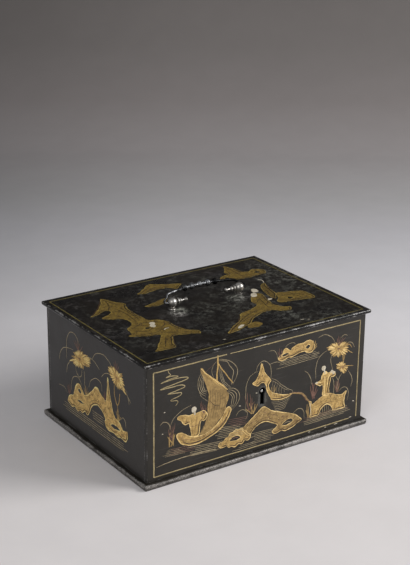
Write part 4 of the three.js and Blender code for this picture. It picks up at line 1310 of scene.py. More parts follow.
    def stroke(self, tone: Tone, points: Trail, width: float, start: float = 0.35,
               end: float = 0.35, wobble: float = 0.12, steps: int = 4) -> None:
        """A brush stroke that swells from its start and thins to its end.

        Args:
            tone: its paint.
            points: points that it passes through.
            width: its greatest width.
            start, end: share of the width at each end.
            wobble: how unsteady it is.
            steps: steps between points.
        """
        path = self.wobbled(through(traced(points), steps), wobble)
        half = []
        for i in range(len(path)):
            share = i / (len(path) - 1)
            tip = start + (end - start) * share
            half.append(width / 2 * (tip + (1 - tip) * math.sin(math.pi * share) ** 0.6))
        self.strokes.setdefault(tone, []).append((path, half))

    def lines(self, tone: Tone, trails: Sequence[Trail], *sizes: float) -> None:
        """Brush strokes that share their tone and sizes."""
        for trail in trails:
            self.stroke(tone, trail, *sizes)

    def petal(self, tone: Tone, root: Point, tip: Point, width: float) -> None:
        """A petal: a tapered leaf shape from its root to its tip."""
        axis = Vector(tip) - Vector(root)
        side = Vector((-axis.y, axis.x)).normalized()
        right = []
        left = []
        for share, part in ((0.2, 0.45), (0.45, 0.95), (0.68, 0.9), (0.88, 0.4)):
            spot = Vector(root) + axis * share
            right.append(tuple(spot + side * (width / 2 * part)))
            left.append(tuple(spot - side * (width / 2 * part)))
        self.fill(tone, [[root, *right, tip, *reversed(left)]], 0.1, 3)

    def blossom(self, tone: Tone, trails: Sequence[Trail], width: float) -> None:
        """A ragged blossom: its petals' tone, its middle and the petals' tips, and a petal's width."""
        (centre,), outer = map(traced, trails)
        inner = [((a[0] + b[0]) / 2, (a[1] + b[1]) / 2) for a, b in zip(outer, outer[1:] + outer[:1])]
        for i, tip in enumerate(point for pair in zip(outer, inner) for point in pair):
            pull = 0.06 if i % 2 else 0.16
            root = (centre[0] + (tip[0] - centre[0]) * pull, centre[1] + (tip[1] - centre[1]) * pull)
            end = (tip[0] + self.hand.uniform(-0.5, 0.5), tip[1] + self.hand.uniform(-0.7, 0.7))
            self.petal(tone, root, end, width * self.hand.uniform(0.55, 0.85))
            vein = [(root[0] + (end[0] - root[0]) * share, root[1] + (end[1] - root[1]) * share)
                    for share in (0.35, 0.95)]
            if self.hand.random() < 0.6:
                self.stroke(Tone.RIM, vein, width * 0.26, 0.7, 0.4)
            else:
                self.stroke(Tone.INK, vein, 0.5)
        for turn in range(6):
            angle = math.tau * turn / 6 + 0.4
            spot = (centre[0] + 4.2 * math.cos(angle), centre[1] + 2.8 * math.sin(angle))
            self.stroke(Tone.RED, [centre, spot], 0.6)

    def head(self, tone: Tone, trails: Sequence[Trail], radius: float) -> None:
        """A blank head: its tone, its middle and the foot of its neck, and half its width."""
        (centre,), (neck,) = map(traced, trails)
        middle = ((centre[0] + neck[0]) / 2 + 0.3, (centre[1] + neck[1]) / 2)
        self.stroke(tone, [centre, middle, neck], radius * 0.62, 0.9, 0.9, 0.05)
        outline = [(centre[0] + radius * math.cos(a), centre[1] + radius * 1.06 * math.sin(a))
                   for a in (math.tau * i / 9 for i in range(9))]
        self.fill(tone, [outline], 0.12)
        hair = [(centre[0] + across * radius, centre[1] + up * radius)
                for across, up in ((-0.9, 0.05), (-0.5, 1.0), (0.6, 1.0))]
        self.stroke(Tone.INK, hair, 0.5)

    def fan(self, tone: Tone, trails: Sequence[Trail], width: float, bend: float = 1.0,
            spread: float = 0.8) -> None:
        """Strokes that spring from one place, such as grass.

        Args:
            tone: their paint.
            trails: where they spring from, and where they end.
            width: their width.
            bend: how far they bow outwards.
            spread: how far apart their roots are.
        """
        (root,), tips = map(traced, trails)
        for tip in tips:
            base = (root[0] + self.hand.uniform(-spread, spread), root[1] + self.hand.uniform(-0.4, 0.4))
            lean = 1 if tip[0] < root[0] else -1
            middle = ((base[0] + tip[0]) / 2 - lean * bend, (base[1] + tip[1]) / 2 + bend * 0.4)
            self.stroke(tone, [base, middle, tip], width, 0.8, 0.15)

    def water(self, tone: Tone, trails: Sequence[Trail], rows: float, pitch: float, width: float,
              slope: float, ragged: float) -> None:
        """Rows of ripples.

        Args:
            tone: their paint.
            trails: the two ends of the lowest row.
            rows: the number of rows.
            pitch: height from row to row.
            width: the lines' width.
            slope: how far each row falls towards the right.
            ragged: how far the ends vary.
        """
        (left, low), (right, _) = traced(trails[0])
        for row in range(int(rows)):
            x = left + self.hand.uniform(0, ragged)
            end = right - self.hand.uniform(0, ragged)
            while x < end - 3:
                stop = min(x + self.hand.uniform(36, 110), end)
                points = []
                for i in range(5):
                    across = x + (stop - x) * i / 4
                    drop = slope * (across - left) / (right - left)
                    points.append((across, low + row * pitch - drop + self.hand.uniform(-0.2, 0.2)))
                self.stroke(tone, points, width, 0.5, 0.5, 0.06)
                x = stop + self.hand.uniform(0.3, 1.6)

    def draw(self) -> None:
        """Draws the whole picture."""

    def build(self, name: str, body: Body, place: Matrix, paints: dict[Tone, bpy.types.Material]) -> None:
        """Draws the picture, makes one thin mesh of each paint and lays it on a face.

        Args:
            name: the face's name.
            body: the body that has it.
            place: the matrix from the drawing to the row frame.
            paints: a material for each tone.
        """
        self.draw()
        for level, tone in enumerate(Tone):
            if tone not in self.fills and tone not in self.strokes:
                continue
            height = self.lift + level * self.layer
            work = bmesh.new()
            self.add_fills(work, tone, height)
            if tone in self.strokes:
                work.from_mesh(self.stroke_mesh(tone, height, paints[tone]))
            work.transform(place)
            work.normal_update()
            mesh = made(work, f"{name}_{tone.value}")
            mesh.materials.clear()
            slot = Slot.SHELL if tone is Tone.PALE else Slot.GILT
            fitted(link(mesh.name, mesh, paints[tone]), body, slot)

    def add_fills(self, work: bmesh.types.BMesh, tone: Tone, height: float) -> None:
        """Adds every patch of one paint to a bmesh, as thin closed solids up to a height."""
        for loops, creep in self.fills.get(tone, ()):
            flat = [[Vector((x, y, 0)) for x, y in loop] for loop in loops]
            top = [[work.verts.new(vec(x, y, height + creep)) for x, y in loop] for loop in loops]
            low = [[work.verts.new(vec(x, y, -self.sink)) for x, y in loop] for loop in loops]
            tops = [vertex for loop in top for vertex in loop]
            lows = [vertex for loop in low for vertex in loop]
            for a, b, c in geometry.tessellate_polygon(flat):
                work.faces.new((tops[a], tops[b], tops[c]))
                work.faces.new((lows[c], lows[b], lows[a]))
            for upper, lower in zip(top, low):
                for i in range(len(upper)):
                    j = (i + 1) % len(upper)
                    work.faces.new((upper[i], lower[i], lower[j], upper[j]))

    def stroke_mesh(self, tone: Tone, height: float, paint: bpy.types.Material) -> bpy.types.Mesh:
        """Every stroke of one paint, swept by the brush tree."""
        curve = bpy.data.curves.new("strokes", "CURVE")
        curve.dimensions = "3D"
        for path, half in self.strokes[tone]:
            spline = curve.splines.new("POLY")
            spline.points.add(len(path) - 1)
            for point, (x, y), radius in zip(spline.points, path, half):
                point.co = (*vec(x, y, height), 1)
                point.radius = radius * MM
        return grown(link("strokes", curve), brush_tree(), Flatness=self.flatness, Sides=self.sides,
                     Paint=paint)


@dataclass
class FrontPicture(Drawing):
    """The front: a boat, a pagoda on a rock bridge, an islet, and a walker on a bridge among flowers."""

    seed: int = 11
    frame_left: float = 8.0
    frame_right: float = 272.3
    frame_low: float = 4.5
    frame_high: float = 119.0
    frame_line: float = 1.35

    def draw(self) -> None:
        """Draws the whole picture."""
        for part in (self.frame, self.cloud, self.boat, self.boatman, self.rigging, self.rock_bridge,
                     self.pagoda, self.islet, self.bridge, self.walker, self.flowers, self.waters):
            part()

    def frame(self) -> None:
        """The gold line round the self."""
        left, right, low, high = self.frame_left, self.frame_right, self.frame_low, self.frame_high
        worn = self.frame_line * 0.7
        for points, width in (
                ([(left, low), (left + 0.2, 60), (left, high)], self.frame_line * 1.15),
                ([(right, high), (right - 0.2, 60), (right, low)], self.frame_line),
                ([(left, low), (90, low + 0.2), (190, low - 0.3), (262, low)], self.frame_line),
                ([(left, high), (60, high), (96, high + 0.2)], self.frame_line),
                ([(100, high + 0.1), (125, high), (150, high + 0.1)], worn),
                ([(148, high), (200, high + 0.2), (right, high)], self.frame_line)):
            self.stroke(Tone.FRAME, points, width, 1.0, 1.0, 0.08, 12)

    def cloud(self) -> None:
        """A cloud drawn as one zigzag line."""
        self.follow("""
        line frame 1.05 0.7 0.5 0.1: 25 118, 26 115, 28 112.5, 22.5 111, 30 111, 37 109, 26 108, 16.5 106,
            26 107, 40 107, 47.5 105.5, 48.5 104, 40 102.5, 26 101, 16 99.5, 26 99, 38 99, 44.5 97.5,
            44 95.5, 36 94, 24.5 92.5, 34 91.5, 41 90, 39 87.5, 29.5 85.5, 29 84, 35.5 83, 36.5 80.5,
            34 77.5""")

    def boat(self) -> None:
        """The hull and the sail."""
        self.follow("""
        fill wash: 64.5 111.5, 66.5 109, 73 101.5, 79 96, 84 92.5, 89 87, 95 81, 98.5 74, 98 68, 95.5 62,
            96 58, 91 52, 85 46, 78 39.5, 70 37, 63.5 37.5, 67 44, 70 50, 72 58, 72.5 66, 74 75, 74 82,
            71 90, 67.5 99, 64 107;
        line gold 2.3 0.8 0.3: 65 110.5, 70 104, 78 97, 84 92, 92 85, 97.5 79.5;
        line rim 0.7 0.6 0.3: 64 111, 69 105.5, 77 98, 83 92.5, 91 85.5, 97.5 79.5;
        line gold 1.1 0.5 0.2: 66 110, 72 101, 80 93.5, 90 84;
        line gold 0.8 0.5 0.3: 98 77, 98.5 70, 95.5 63;
        line gold 0.6 0.4 0.3: 73 60, 74 70, 74.5 80, 71.5 90""")
        for i in range(7):
            x = 75.5 + 3.1 * i
            self.stroke(Tone.INK, [(x, 88 - 2.2 * i), (x + 0.6, 70 - i), (x - 3.2, 50 + i)], 0.3, 0.5, 0.3)
        self.follow("""
        line ink 0.7: 75 73, 82 66, 88 64;
        line ink 0.8: 66 40, 70 50, 72.5 60, 73 68;
        shape gold 0.15 1.25 0.012: 35.5 44, 37 39, 40.5 34, 46 30.5, 54 28.5, 62 28.5, 70 30, 78 32.5,
            86 36, 93 40.5, 98.5 47, 101.5 54, 102 57.5, 100 59.5, 96.5 59, 93.5 54, 88.5 47.5, 82.5 42,
            76 38.5, 68 36.5, 60 36.5, 53 38, 47 42, 42 45, 38 46;
        fill wash: 96.5 57, 98.5 52, 94 46, 87 41, 81 38.5, 85 43, 90 48, 94 53""")
        for lift, tone, width in ((0.6, Tone.INK, 0.5), (2.4, Tone.INK, 0.5), (4.0, Tone.RED, 0.5)):
            keel = [(40.4, 38 + lift * 0.6), (46, 33 + lift), (56, 30.6 + lift), (66, 31 + lift),
                    (76, 33.6 + lift), (86, 38.4 + lift * 0.7), (94, 44.6 + lift * 0.4), (99.4, 53)]
            self.stroke(tone, keel, width, 0.3, 0.2)
        for x, y in ((42, 38.6), (45.4, 36), (44, 41)):
            self.stroke(Tone.RED, arc((x, y), 1.5, 20, 330, 6), 0.4)
        for x in (88, 91, 94):
            self.stroke(Tone.INK, [(x, 42 + (x - 88) * 0.9), (x + 2.4, 49 + (x - 88) * 0.8)], 0.28)

    def rigging(self) -> None:
        """The mast, its stay and the looped ropes."""
        self.follow("""
        line gold 1.9 0.8 0.7: 84.5 120.5, 85 110, 84 100, 84 91.5;
        line gold 1.35 0.6 0.7: 85 112, 91 103, 97 95, 104 85.5;
        line line 0.5: 83 114, 79.5 111, 77.5 104, 80 97;
        line red 0.4: 81 113, 75 109, 69 105""")
        for reach, lift in ((0.0, 0.0), (-5.0, -1.5)):
            self.stroke(Tone.LINE, [(86, 116 + lift), (96, 113 + lift), (104.4 + reach, 107.4 + lift),
                                    (109.6 + reach, 99), (108 + reach, 91), (103.6 + reach * 0.3, 84)], 0.75)
        for gap in (0.0, 2.4, 4.6):
            self.stroke(Tone.LINE, [(87 + gap * 0.4, 107), (87.6 + gap * 0.6, 98), (91 + gap * 0.7, 89),
                                    (97 + gap, 81.6)], 0.5)
        for pull in (0.0, 3.6, 7.0, 9.6):
            self.stroke(Tone.LINE, [(97.4, 81 - pull * 0.5), (105.4 - pull * 0.5, 79.4 - pull * 0.55),
                                    (111.2 - pull * 0.8, 74 - pull * 0.4), (112.6 - pull, 66.6),
                                    (109.6 - pull * 0.8, 60.6), (103.4 - pull * 0.3, 56 + pull * 0.5)], 0.72)
        for push in (0.0, 2.2, 4.2, 6.0):
            self.stroke(Tone.LINE, [(64.4 + push * 0.6, 106 - push), (61 + push, 98 - push * 0.4),
                                    (61.2 + push, 90 + push * 0.2), (64.6 + push * 0.8, 83.4 + push * 0.4),
                                    (70.6 + push * 0.3, 79 + push)], 0.66)
        self.follow("""
        line line 0.5: 62 88, 65 80, 70 75.5, 74 72;
        fan red 0.8 0.8: 68.6 61 | 63.5 73, 65 75, 67 72, 69 70, 71 66""")

    def boatman(self) -> None:
        """A plain robed figure in the boat."""
        self.follow("""
        shape gold 0.15 0.95 0.006: 36.5 64, 39 65, 46 64, 50.5 62.5, 54 63, 60.5 63, 65 64, 69 63,
            71.5 60.5, 72.5 57.5, 70.5 54, 67.5 52, 65.5 53.5, 64 50, 63 44, 62.5 38.5, 58 37.5, 53.5 38,
            53 43, 51.5 49, 50 54, 46 53.5, 42.5 56, 40 59.5, 37 61.5;
        head pale 3.1: 56.2 67.8 | 57.2 61.6;
        line ink 0.34: 60 61, 58.5 50, 57 39 | 52.5 60, 54 50, 54.5 40 | 48 62, 47 58, 48 54.5 | 65.5 62.5,
            66.5 57, 66.5 53.5 | 43 63, 42.5 60, 43.5 57""")
        self.stroke(Tone.RED, arc((68, 58), 2.0, 0, 320, 8), 0.6)
        self.follow("""
        line red 0.45: 52 50, 57 49, 63 50.5;
        line line 0.6: 27 56, 31.5 63.5, 38 68.5, 46 72, 53 73.5""")

    def rock_bridge(self) -> None:
        """The arched rock that joins two pierced islands."""
        self.follow("""
        shape wash: 139.5 46.4, 143 48.2, 147 47.6, 150.5 44.4, 155 41, 165 37, 175 33.5, 184 30, 191 25,
            195.5 20.5, 189 17.5, 183 14.5, 174 13, 168 14.5, 162 13, 157 14.5, 156.5 17, 161 20, 163 22.5,
            157.5 26, 150.5 29.5, 144 31, 138 29.5, 131.5 25.5, 126 20, 121 24, 116.5 29.5, 121.5 33.4,
            128 38, 134 42.2 | 169 20.5, 172 24, 179 26, 184 23.5, 181.5 20.5, 175 19;
        shape gold: 87 18.5, 89 21.5, 93 22, 96 25, 99.5 25.5, 101.5 29, 105 29, 108.5 31.5, 112 30.5,
            116 31, 118.5 28.5, 122 27, 123.5 23.5, 127.5 21, 127 16.5, 123.5 15, 120 16, 117 13, 112.5 14,
            108 11.5, 104 13.5, 100 13, 97 15.5, 92 15, 88.5 16 | 101 20.5, 104 23.5, 109 24.5, 113.5 23,
            115 20.5, 111 19, 105 19;
        line red 1: 104 21, 108 22.5, 112 21.5;
        line line 0.8: 171 21, 176 22.5, 181 22;
        line ink 0.36: 124 31, 132 37, 142 40, 152 38, 164 33 | 128 27, 137 33.5, 146 35, 158 30.5 |
            140 44.6, 144 43.4, 148 44.6 | 162 30, 168 27, 176 29 | 94 18.5, 98 20.5, 100 24 | 118 18.5,
            121 20, 122 24 | 160 16, 168 17.5, 178 16.5, 186 19.5""")
        for x, y in ((131, 33.6), (139, 42), (151, 34), (158, 35.4), (170, 31), (176, 28.6), (146, 41)):
            self.stroke(Tone.RED, [(x - 1.6, y - 0.4), (x, y + 0.7), (x + 1.7, y)], 0.55)
        self.follow("""
        line rim 0.6: 148 46.8, 151 44.2, 155 41.5, 165 37.5, 175 34""")

    def pagoda(self) -> None:
        """The curved roof above the keyhole, its long eave, and the faint arcs round it."""
        self.follow("""
        shape gold: 140 98.5, 142 94, 144.5 88, 148 83, 153 77, 151 74.5, 149.5 71, 151 67, 155 62.5,
            160.5 59.5, 167 57, 174 55, 181 54.5, 176 52, 168 51.5, 160 52.5, 154.5 54, 152.5 58, 150 62,
            147.5 67, 147 72, 144 76, 140 76.5, 136 74.5, 133.5 75.5, 130 77.5, 129.5 79, 133 81, 136.5 86,
            138.5 92;
        line ink 0.34: 140 92, 138.5 85, 135 79.5 | 140.5 90, 141.5 84, 145 79 | 156 58, 164 55, 173 54 |
            133 78.5, 139 79.5, 147 79;
        line line 0.6: 120.5 48, 121 60, 120.5 70, 121.5 80, 125.5 87, 131.5 90.5, 136 90.5;
        line line 0.7: 133.5 92, 135.5 97.5, 140.5 101, 146.5 99.5, 151 94.5, 153 87, 152.5 79;
        line line 0.55: 153 79.5, 160 75, 168 67.5, 176 61.5, 181.5 58, 182 54;
        line line 0.45: 154 76, 161 71.5, 169 64, 177 59.5""")
        for x, top in ((156, 76), (159, 74), (162, 71), (165, 68), (168, 65), (172, 62.6)):
            self.stroke(Tone.LINE, [(x, top), (x - 1.4, (top + 60) / 2), (x - 0.6, 58.4)], 0.4)
        self.follow("""
        fan red 0.9 0.6 2: 125 49 | 119.5 67, 122.5 71, 126 68, 129 63, 132 58, 123 60;
        fan wash 1.3 0.4 2.5: 130 44 | 121 52, 125 58, 129 57, 133 55, 136 54;
        fan wash 0.9 0.4: 156 58 | 154 69, 157 70, 160 68;
        line line 0.6: 108.5 47, 112 51, 117 52, 121.5 49.5, 123.5 45, 121 40""")
        for row in range(6):
            sag = 1.6 + 0.3 * row
            y = 51.4 - 1.7 * row
            eave = [(154 + row, y), (162, y - sag), (171, y - sag), (181 - row * 1.4, y + 0.4)]
            self.stroke(Tone.LINE, eave, 0.46)
        branch = "178 55, 186 54, 194 51.5, 199.5 46.5, 203 41.5, 207 38"
        self.stroke(Tone.WASH, branch, 2.3, 0.5, 0.4)
        self.stroke(Tone.RED, [(x + 0.2, y + 0.5) for x, y in traced(branch)], 0.7, 0.4, 0.3)
        self.follow("""
        line red 0.7: 192 52.5, 197 47.5, 201.5 40.5;
        line line 0.7: 184 31, 189 34, 195 33.5, 198.5 28, 199 21.5""")

    def islet(self) -> None:
        """The pierced islet at the top."""
        self.follow("""
        shape gold: 161.5 98.5, 164 102, 167 103.5, 169 107.5, 172 108.5, 175.5 106, 178.5 104, 179.5 107,
            184 109, 190 110, 195.5 109.5, 199 111, 203.5 111, 207.5 108.5, 210 103, 208 98.5, 204 97,
            199.5 98, 196 100, 190 99.5, 184 98.5, 180 97, 175 98, 170 96, 165.5 96 | 166 101, 170.5 103.6,
            176 102.4, 171 99.8 | 197.6 104, 200.8 106.6, 204 104.4, 201 101.6;
        line ink 0.34: 180 106, 187 107.5, 194 106.5 | 180 101, 188 102, 196 103 | 166 99, 172 99.5,
            178 100.5 | 197.5 107.5, 201 108.5, 205 106;
        line red 0.45: 182 104.5, 188 105.5, 193 104;
        fan red 0.7 0.3 1.4: 163.6 99.6 | 160.5 108, 163 111, 165.5 110, 167 107.5;
        fan wash 1.1 0.3: 209 99 | 211 109, 213 105.5, 213.5 102, 208 110;
        line line 0.5: 149 110.5, 155.5 110, 159.5 105, 161 99.5 | 170.5 110, 175 113, 181 113, 184 111;
        line line 0.6: 150 95.5, 158 96, 164 95, 173 95;
        water line 5 1.8 0.6 -1.5 12: 158 87.6, 219 87.6""")

    def bridge(self) -> None:
        """The arched bridge with end posts."""
        self.follow("""
        shape gold: 205 39, 207.5 38, 209 35, 213 36, 218 38.5, 223.5 41, 229.5 42.5, 236 41, 242 38.5,
            248 36.5, 252.5 37, 255.5 39, 257 38.5, 255 33, 254.5 27, 255 20, 248 20, 239.5 20, 237 24.5,
            233 29, 229 30, 224.5 28.5, 220.5 25, 218.5 20, 213 20, 207.5 20, 207.5 27, 206.5 33;
        line pale 0.8 0.4 0.3: 206.5 37.5, 207.5 30, 208.5 21;
        line rim 0.9 0.6 0.5: 255.5 38, 253.5 30, 254 21;
        line rim 0.8 0.5 0.5: 219 21, 222 26, 228.5 30, 235 27, 238.5 21""")
        for drop in (3.0, 6.0):
            self.stroke(Tone.INK, [(210, 33.4 - drop * 0.6), (219, 36.4 - drop), (229, 39.4 - drop),
                                   (241, 36 - drop), (251.6, 33.6 - drop * 0.6)], 0.3)
        for i in range(9):
            x = 211 + 4.8 * i
            top = 34.6 + 4.6 * math.sin((x - 208) / 46 * math.pi)
            self.stroke(Tone.INK, [(x, top), (x + 0.5, top - 2.6)], 0.26)
        for x in (213, 245, 250):
            self.stroke(Tone.RED, [(x, 25), (x + 1.4, 27), (x + 0.4, 29)], 0.4)
        for i in range(6):
            x = 221.4 + 2.7 * i
            top = 29 - 0.12 * (x - 228.6) ** 2
            self.stroke(Tone.LINE, [(x, 20.4), (x + 0.2, (20 + top) / 2), (x, top)], 0.6)
        self.follow("""
        fan wash 1.2 0.3 1.2: 204.6 20.4 | 202.5 37, 204.5 34, 201 30, 203.5 29""")

    def walker(self) -> None:
        """A plain robed figure on the bridge."""
        self.follow("""
        shape gold 0.15 0.95 0.006: 213.5 58, 218 59.6, 220.8 61.4, 221.4 65, 223.6 67.4, 228 67.6,
            232 66.8, 235 68.4, 238.4 66, 240.4 62.8, 238 61, 234.4 61.4, 233.4 57, 232.6 52, 231.8 46.4,
            231.8 41, 223.6 42, 223.4 47.4, 223.6 52, 222.4 55, 219.6 54.4, 216.6 55.6;
        head pale 2.8: 223.6 73.8 | 225.6 67;
        fill rim 0.05: 222.6 66, 224 69.4, 227 69.6, 229 66.6;
        fill pale 0.05: 212.5 58.5, 214.5 60, 216.5 59, 214.5 57;
        fill pale 0.05: 233 66.5, 235 69.5, 237.5 67.5, 240.5 65.5, 238 63.5, 235.5 65;
        line ink 0.3: 228 63, 228.4 55, 227.5 44 | 231.4 60, 230.8 52, 230.6 46 | 223.4 55, 226 54.4,
            229 55;
        line red 0.4: 222 62, 227 61, 232 62.5;
        line rim 1.6 0.6 0.5: 225.4 64, 225.6 54, 225.4 43 | 236 66, 232 64, 229.8 58, 229.4 50 | 216 58,
            221 58""")

    def flowers(self) -> None:
        """Two blossoms, their stems, and the grasses round the bridge."""
        self.follow("""
        blossom gold 3.5: 243.6 92 | 226.5 97, 228.5 93, 232.5 88, 236 83.5, 240.5 84.5, 244 81.5, 248 83,
            252.5 81, 256.5 85, 258 90.5, 256.5 96, 251.5 99, 246.5 98.5, 241.5 101, 236 100, 231 99.5;
        blossom gold 3: 249.8 69.2 | 240.5 74, 241.5 69.5, 245 66, 248 63.5, 251.5 61, 254.5 61.5,
            257.5 64.5, 258 68.5, 254.5 71.5, 250.5 76, 245.5 75.5;
        line gold 0.8 0.8 0.1: 250 91, 257 87, 263.5 82.5 | 254 69.5, 260 68.5, 265.5 67 | 254 95, 259 93.5,
            262 89;
        fan red 0.8 0.3: 243 96 | 240.5 105, 242.5 107.5, 245 106, 249 104, 252.5 103.5;
        fan wash 1.2 0.1: 250.6 75 | 249 83, 251 84, 252.5 83;
        line line 0.68: 234 87.5, 233 81, 234.5 74, 236.5 68.5 | 241 60.5, 244.5 55.5, 247 59, 249.5 62 |
            244.5 55.5, 243.5 49, 243 42 | 236 60, 238.5 54, 239 46, 239 40 | 258 63, 263 56, 264.5 49,
            263 43 | 256.5 97, 262 95, 265.5 89 | 246.5 42, 251.5 44.5, 257 43, 260 36, 258.5 27 | 213.5 63,
            212.5 74, 214.5 84, 220 90.5, 227.5 93.5 | 214.5 111, 222 113, 230 110, 235.5 105, 237.5 100 |
            197.5 77, 203 72, 206.5 65, 207.5 58 | 246 104, 250.5 107, 255 105;
        fan red 1.5 0.5 2.4: 211.6 41 | 206 57.5, 208.5 61, 211.5 59.5, 214.5 55.5, 216.5 51, 209 52;
        fan red 1.3 0.3 1.6: 244 41 | 239.5 50, 242 55, 245 56, 247 51;
        fan wash 1 0.3 1.2: 243.6 41 | 241 47, 244 52, 246.5 49;
        line line 0.8: 15.5 60.5, 19.5 63, 24 61.5, 27 57, 27.5 52.5;
        fan red 0.9 0.3 2.4: 29 41 | 25.5 54, 28 58, 31 57, 33.5 59, 26 49;
        fan wash 1.6 0.3 3.4: 29.6 34 | 24.5 46, 27.5 50, 30.5 51, 33.5 47""")

    def waters(self) -> None:
        """The ripples, and pale flecks where the lacquer has chipped."""
        self.follow("""
        water line 5 1.7 0.5 1.6 7: 18 24, 46 24;
        water red 4 1.9 0.6 2.6 9: 22 25, 60 25;
        water line 6 1.9 0.62 4.6 14: 44 17.6, 96 17.6;
        water line 7 1.9 0.62 3.6 8: 82 27.5, 120 27.5;
        water red 5 2 0.62 2.4 6: 96 37, 126 37;
        line line 1 0.2 0.2: 11 15, 24 16.5, 42 17.5, 60 17, 78 16, 90 14.5;
        water line 7 1.9 0.6 1.2 8: 126 9.4, 162 9.4;
        water line 5 1.9 0.66 -1 14: 190 12.2, 266 12.2;
        water line 3 1.8 0.5 0.8 20: 96 7.6, 150 7.6;
        water red 3 1.9 0.5 -1 16: 186 17, 262 17""")
        for x, y, length in (
                (17.6, 50, 1.6), (112, 57, 2.2), (266, 24, 2.6), (241, 2.6, 5.5), (205, 2.4, 3.4),
                (228, 2.2, 2.4), (262, 5.6, 4.0), (133.2, 66.4, 1.8), (20, 73, 1.4), (129.6, 118.6, 1.6)):
            fleck = [(x, y), (x + length * 0.5, y + 0.3), (x + length, y - 0.2)]
            self.stroke(Tone.PALE, fleck, 0.9, 0.4, 0.3, 0.2)


@dataclass
class SidePicture(Drawing):
    """A side: a rocky bridge with a spire between two blossoms."""

    seed: int = 23

    def draw(self) -> None:
        """Draws the whole picture."""
        self.rocks()
        self.flowers()

    def rocks(self) -> None:
        """The bridge, its rocks and spire, and the water under them."""
        self.follow("""
        shape gold: 44.5 28.5, 46.5 34, 51 38, 57 40, 60 47, 63.5 54, 68 57.5, 73.5 57, 78 52.5, 81.5 49,
            86 50.5, 93 55.5, 100 61.5, 105.5 67.5, 110.5 68, 116 64.5, 122 61.5, 128 60.5, 130 70, 131 80,
            132 88.5, 134 79, 136.5 69, 139.5 59, 143.5 50.5, 148.5 47, 154 46.5, 158.5 43, 162 40, 167 41,
            170.5 41.5, 170.5 35, 166.5 29.5, 158 30, 150 28.5, 142 30, 134 28.5, 127.5 30.5, 124.5 35.5,
            126.5 38.5, 123 43, 117 47, 110 48.5, 102.5 46, 96.5 41.5, 93 34.5, 88 28.5, 82 30.5, 77 27,
            71.5 27.5, 66 24.5, 60 27.5, 54 25.5, 48.5 27 | 67.5 50, 70.5 53, 74.5 51.5, 74.5 48.5,
            70.5 47.5 | 65.5 37.5, 70 39.5, 78 39.5, 80.5 37.5, 73 36.5 | 136.5 36.5, 142 39.5, 149.5 40,
            156.5 38, 150 35.5, 142 35;
        line ink 0.36: 64 47.5, 68 55, 74 54.5, 79 49.5 | 82 47, 92 52, 101 58.5, 108 64.5, 118 60.5 |
            91 44, 98 49, 106 52.5, 116 51.5, 124 46.5 | 52 34, 60 33, 66 30 | 84 42, 90 40, 92 34 | 128 45,
            136 44, 144 45, 152 44 | 129 34, 136 32, 146 32.5, 160 33 | 132 80, 132.5 66, 135 54 | 56 30,
            64 28.5, 74 31, 84 33.5 | 158 38, 163 37, 168 38""")
        for x, y in ((74, 44), (88, 47), (99, 55), (112, 60), (122, 55), (138, 50), (160, 34.6), (132, 40)):
            self.stroke(Tone.RED, [(x - 1.8, y - 0.6), (x, y + 0.7), (x + 1.8, y)], 0.6)
        self.follow("""
        line rim 0.9 0.2 0.2: 61 47, 66 56, 72 57.5, 79 51 | 85 50, 96 58, 106 67, 114 65 | 131 70, 132 86,
            134.5 76, 138 62 | 146 48, 154 46, 161 40 | 94 38, 101 45, 110 48.5, 120 45.5 | 128 31,
            142 30.5, 158 31, 168 34;
        water line 4 2.5 0.7 0 14: 30 17.4, 176 17.4;
        water line 4 2.7 0.7 0 3: 98 30, 124 30;
        line line 0.5: 24 40.5, 31 42, 38 41.5, 43 37;
        fan red 0.9 0.3 1.6: 49 38 | 43 47, 46 49, 50 52, 52 47;
        fan red 0.9 0.3: 125.6 59 | 121.5 66, 124 70, 126.5 71, 128 66;
        fan wash 1 0.3 1.6: 85 50 | 81 58, 84 62, 88 61, 91 57;
        fan wash 1 0.3 1.6: 152 47 | 148 57, 151 60, 154 56, 158 54""")

    def flowers(self) -> None:
        """The two blossoms, their looped stems and the trailing arcs."""
        self.follow("""
        blossom gold 4.2: 73 88 | 49.5 78, 54.5 79, 60.5 76.5, 66.5 76, 74 78, 80.5 79, 84 84, 94.5 86,
            97 91.5, 97 96, 90.5 98, 84 97.5, 79.5 99.5, 72 98.5, 65.5 95, 59.5 91.5;
        blossom gold 4.4: 150.4 94.8 | 132.5 100.5, 133.5 96, 138.5 90.5, 143.5 87, 149.5 83, 156.5 83.5,
            163 85.5, 169.5 83, 166.5 92, 163.5 98, 161.5 104.5, 156 101.5, 150.5 104, 146 105.5, 139.5 104;
        line line 0.7: 44 78, 44 92, 45.5 102, 51 110.5, 59 113.5, 67 111, 72.5 104 | 26.5 71, 30 81,
            37 88.5, 48 92, 59 93.5 | 100 97, 106 105, 116 109.5, 126 110.5, 136 107, 140 103 | 119 84,
            125 90, 132 93, 138 93.5 | 91.5 62, 96 71, 104 77, 112 78.5, 118.5 76, 119.5 68 | 52.5 44,
            53.5 54, 58 61.5, 66 65, 73 63, 76.5 58 | 43 62, 46 72, 52 78 | 82.5 78, 83 70, 82.5 60 |
            63.5 76, 66 69.5, 71 66.5, 76 70, 77.5 77 | 156.5 50, 162 54.5, 166.5 52, 167.5 45 | 169 88,
            173 80, 174.5 74 | 172 82, 178 77 | 88 96, 98 97.5, 108 95, 115 91;
        line wash 1.5 0.7 0.6: 145.5 85, 145 76, 147.5 69, 150.5 64.5, 154.5 69.5, 156 79;
        line wash 1.2 0.6 0.5: 151 64, 152.5 56, 152.5 47;
        fan red 0.9 0.4 2.4: 71 95 | 60 105, 64 107, 69 108, 74 106, 80 105;
        fan red 0.9 0.4 2: 149.6 102 | 144.5 110, 148 113, 151.5 112, 155 109""")


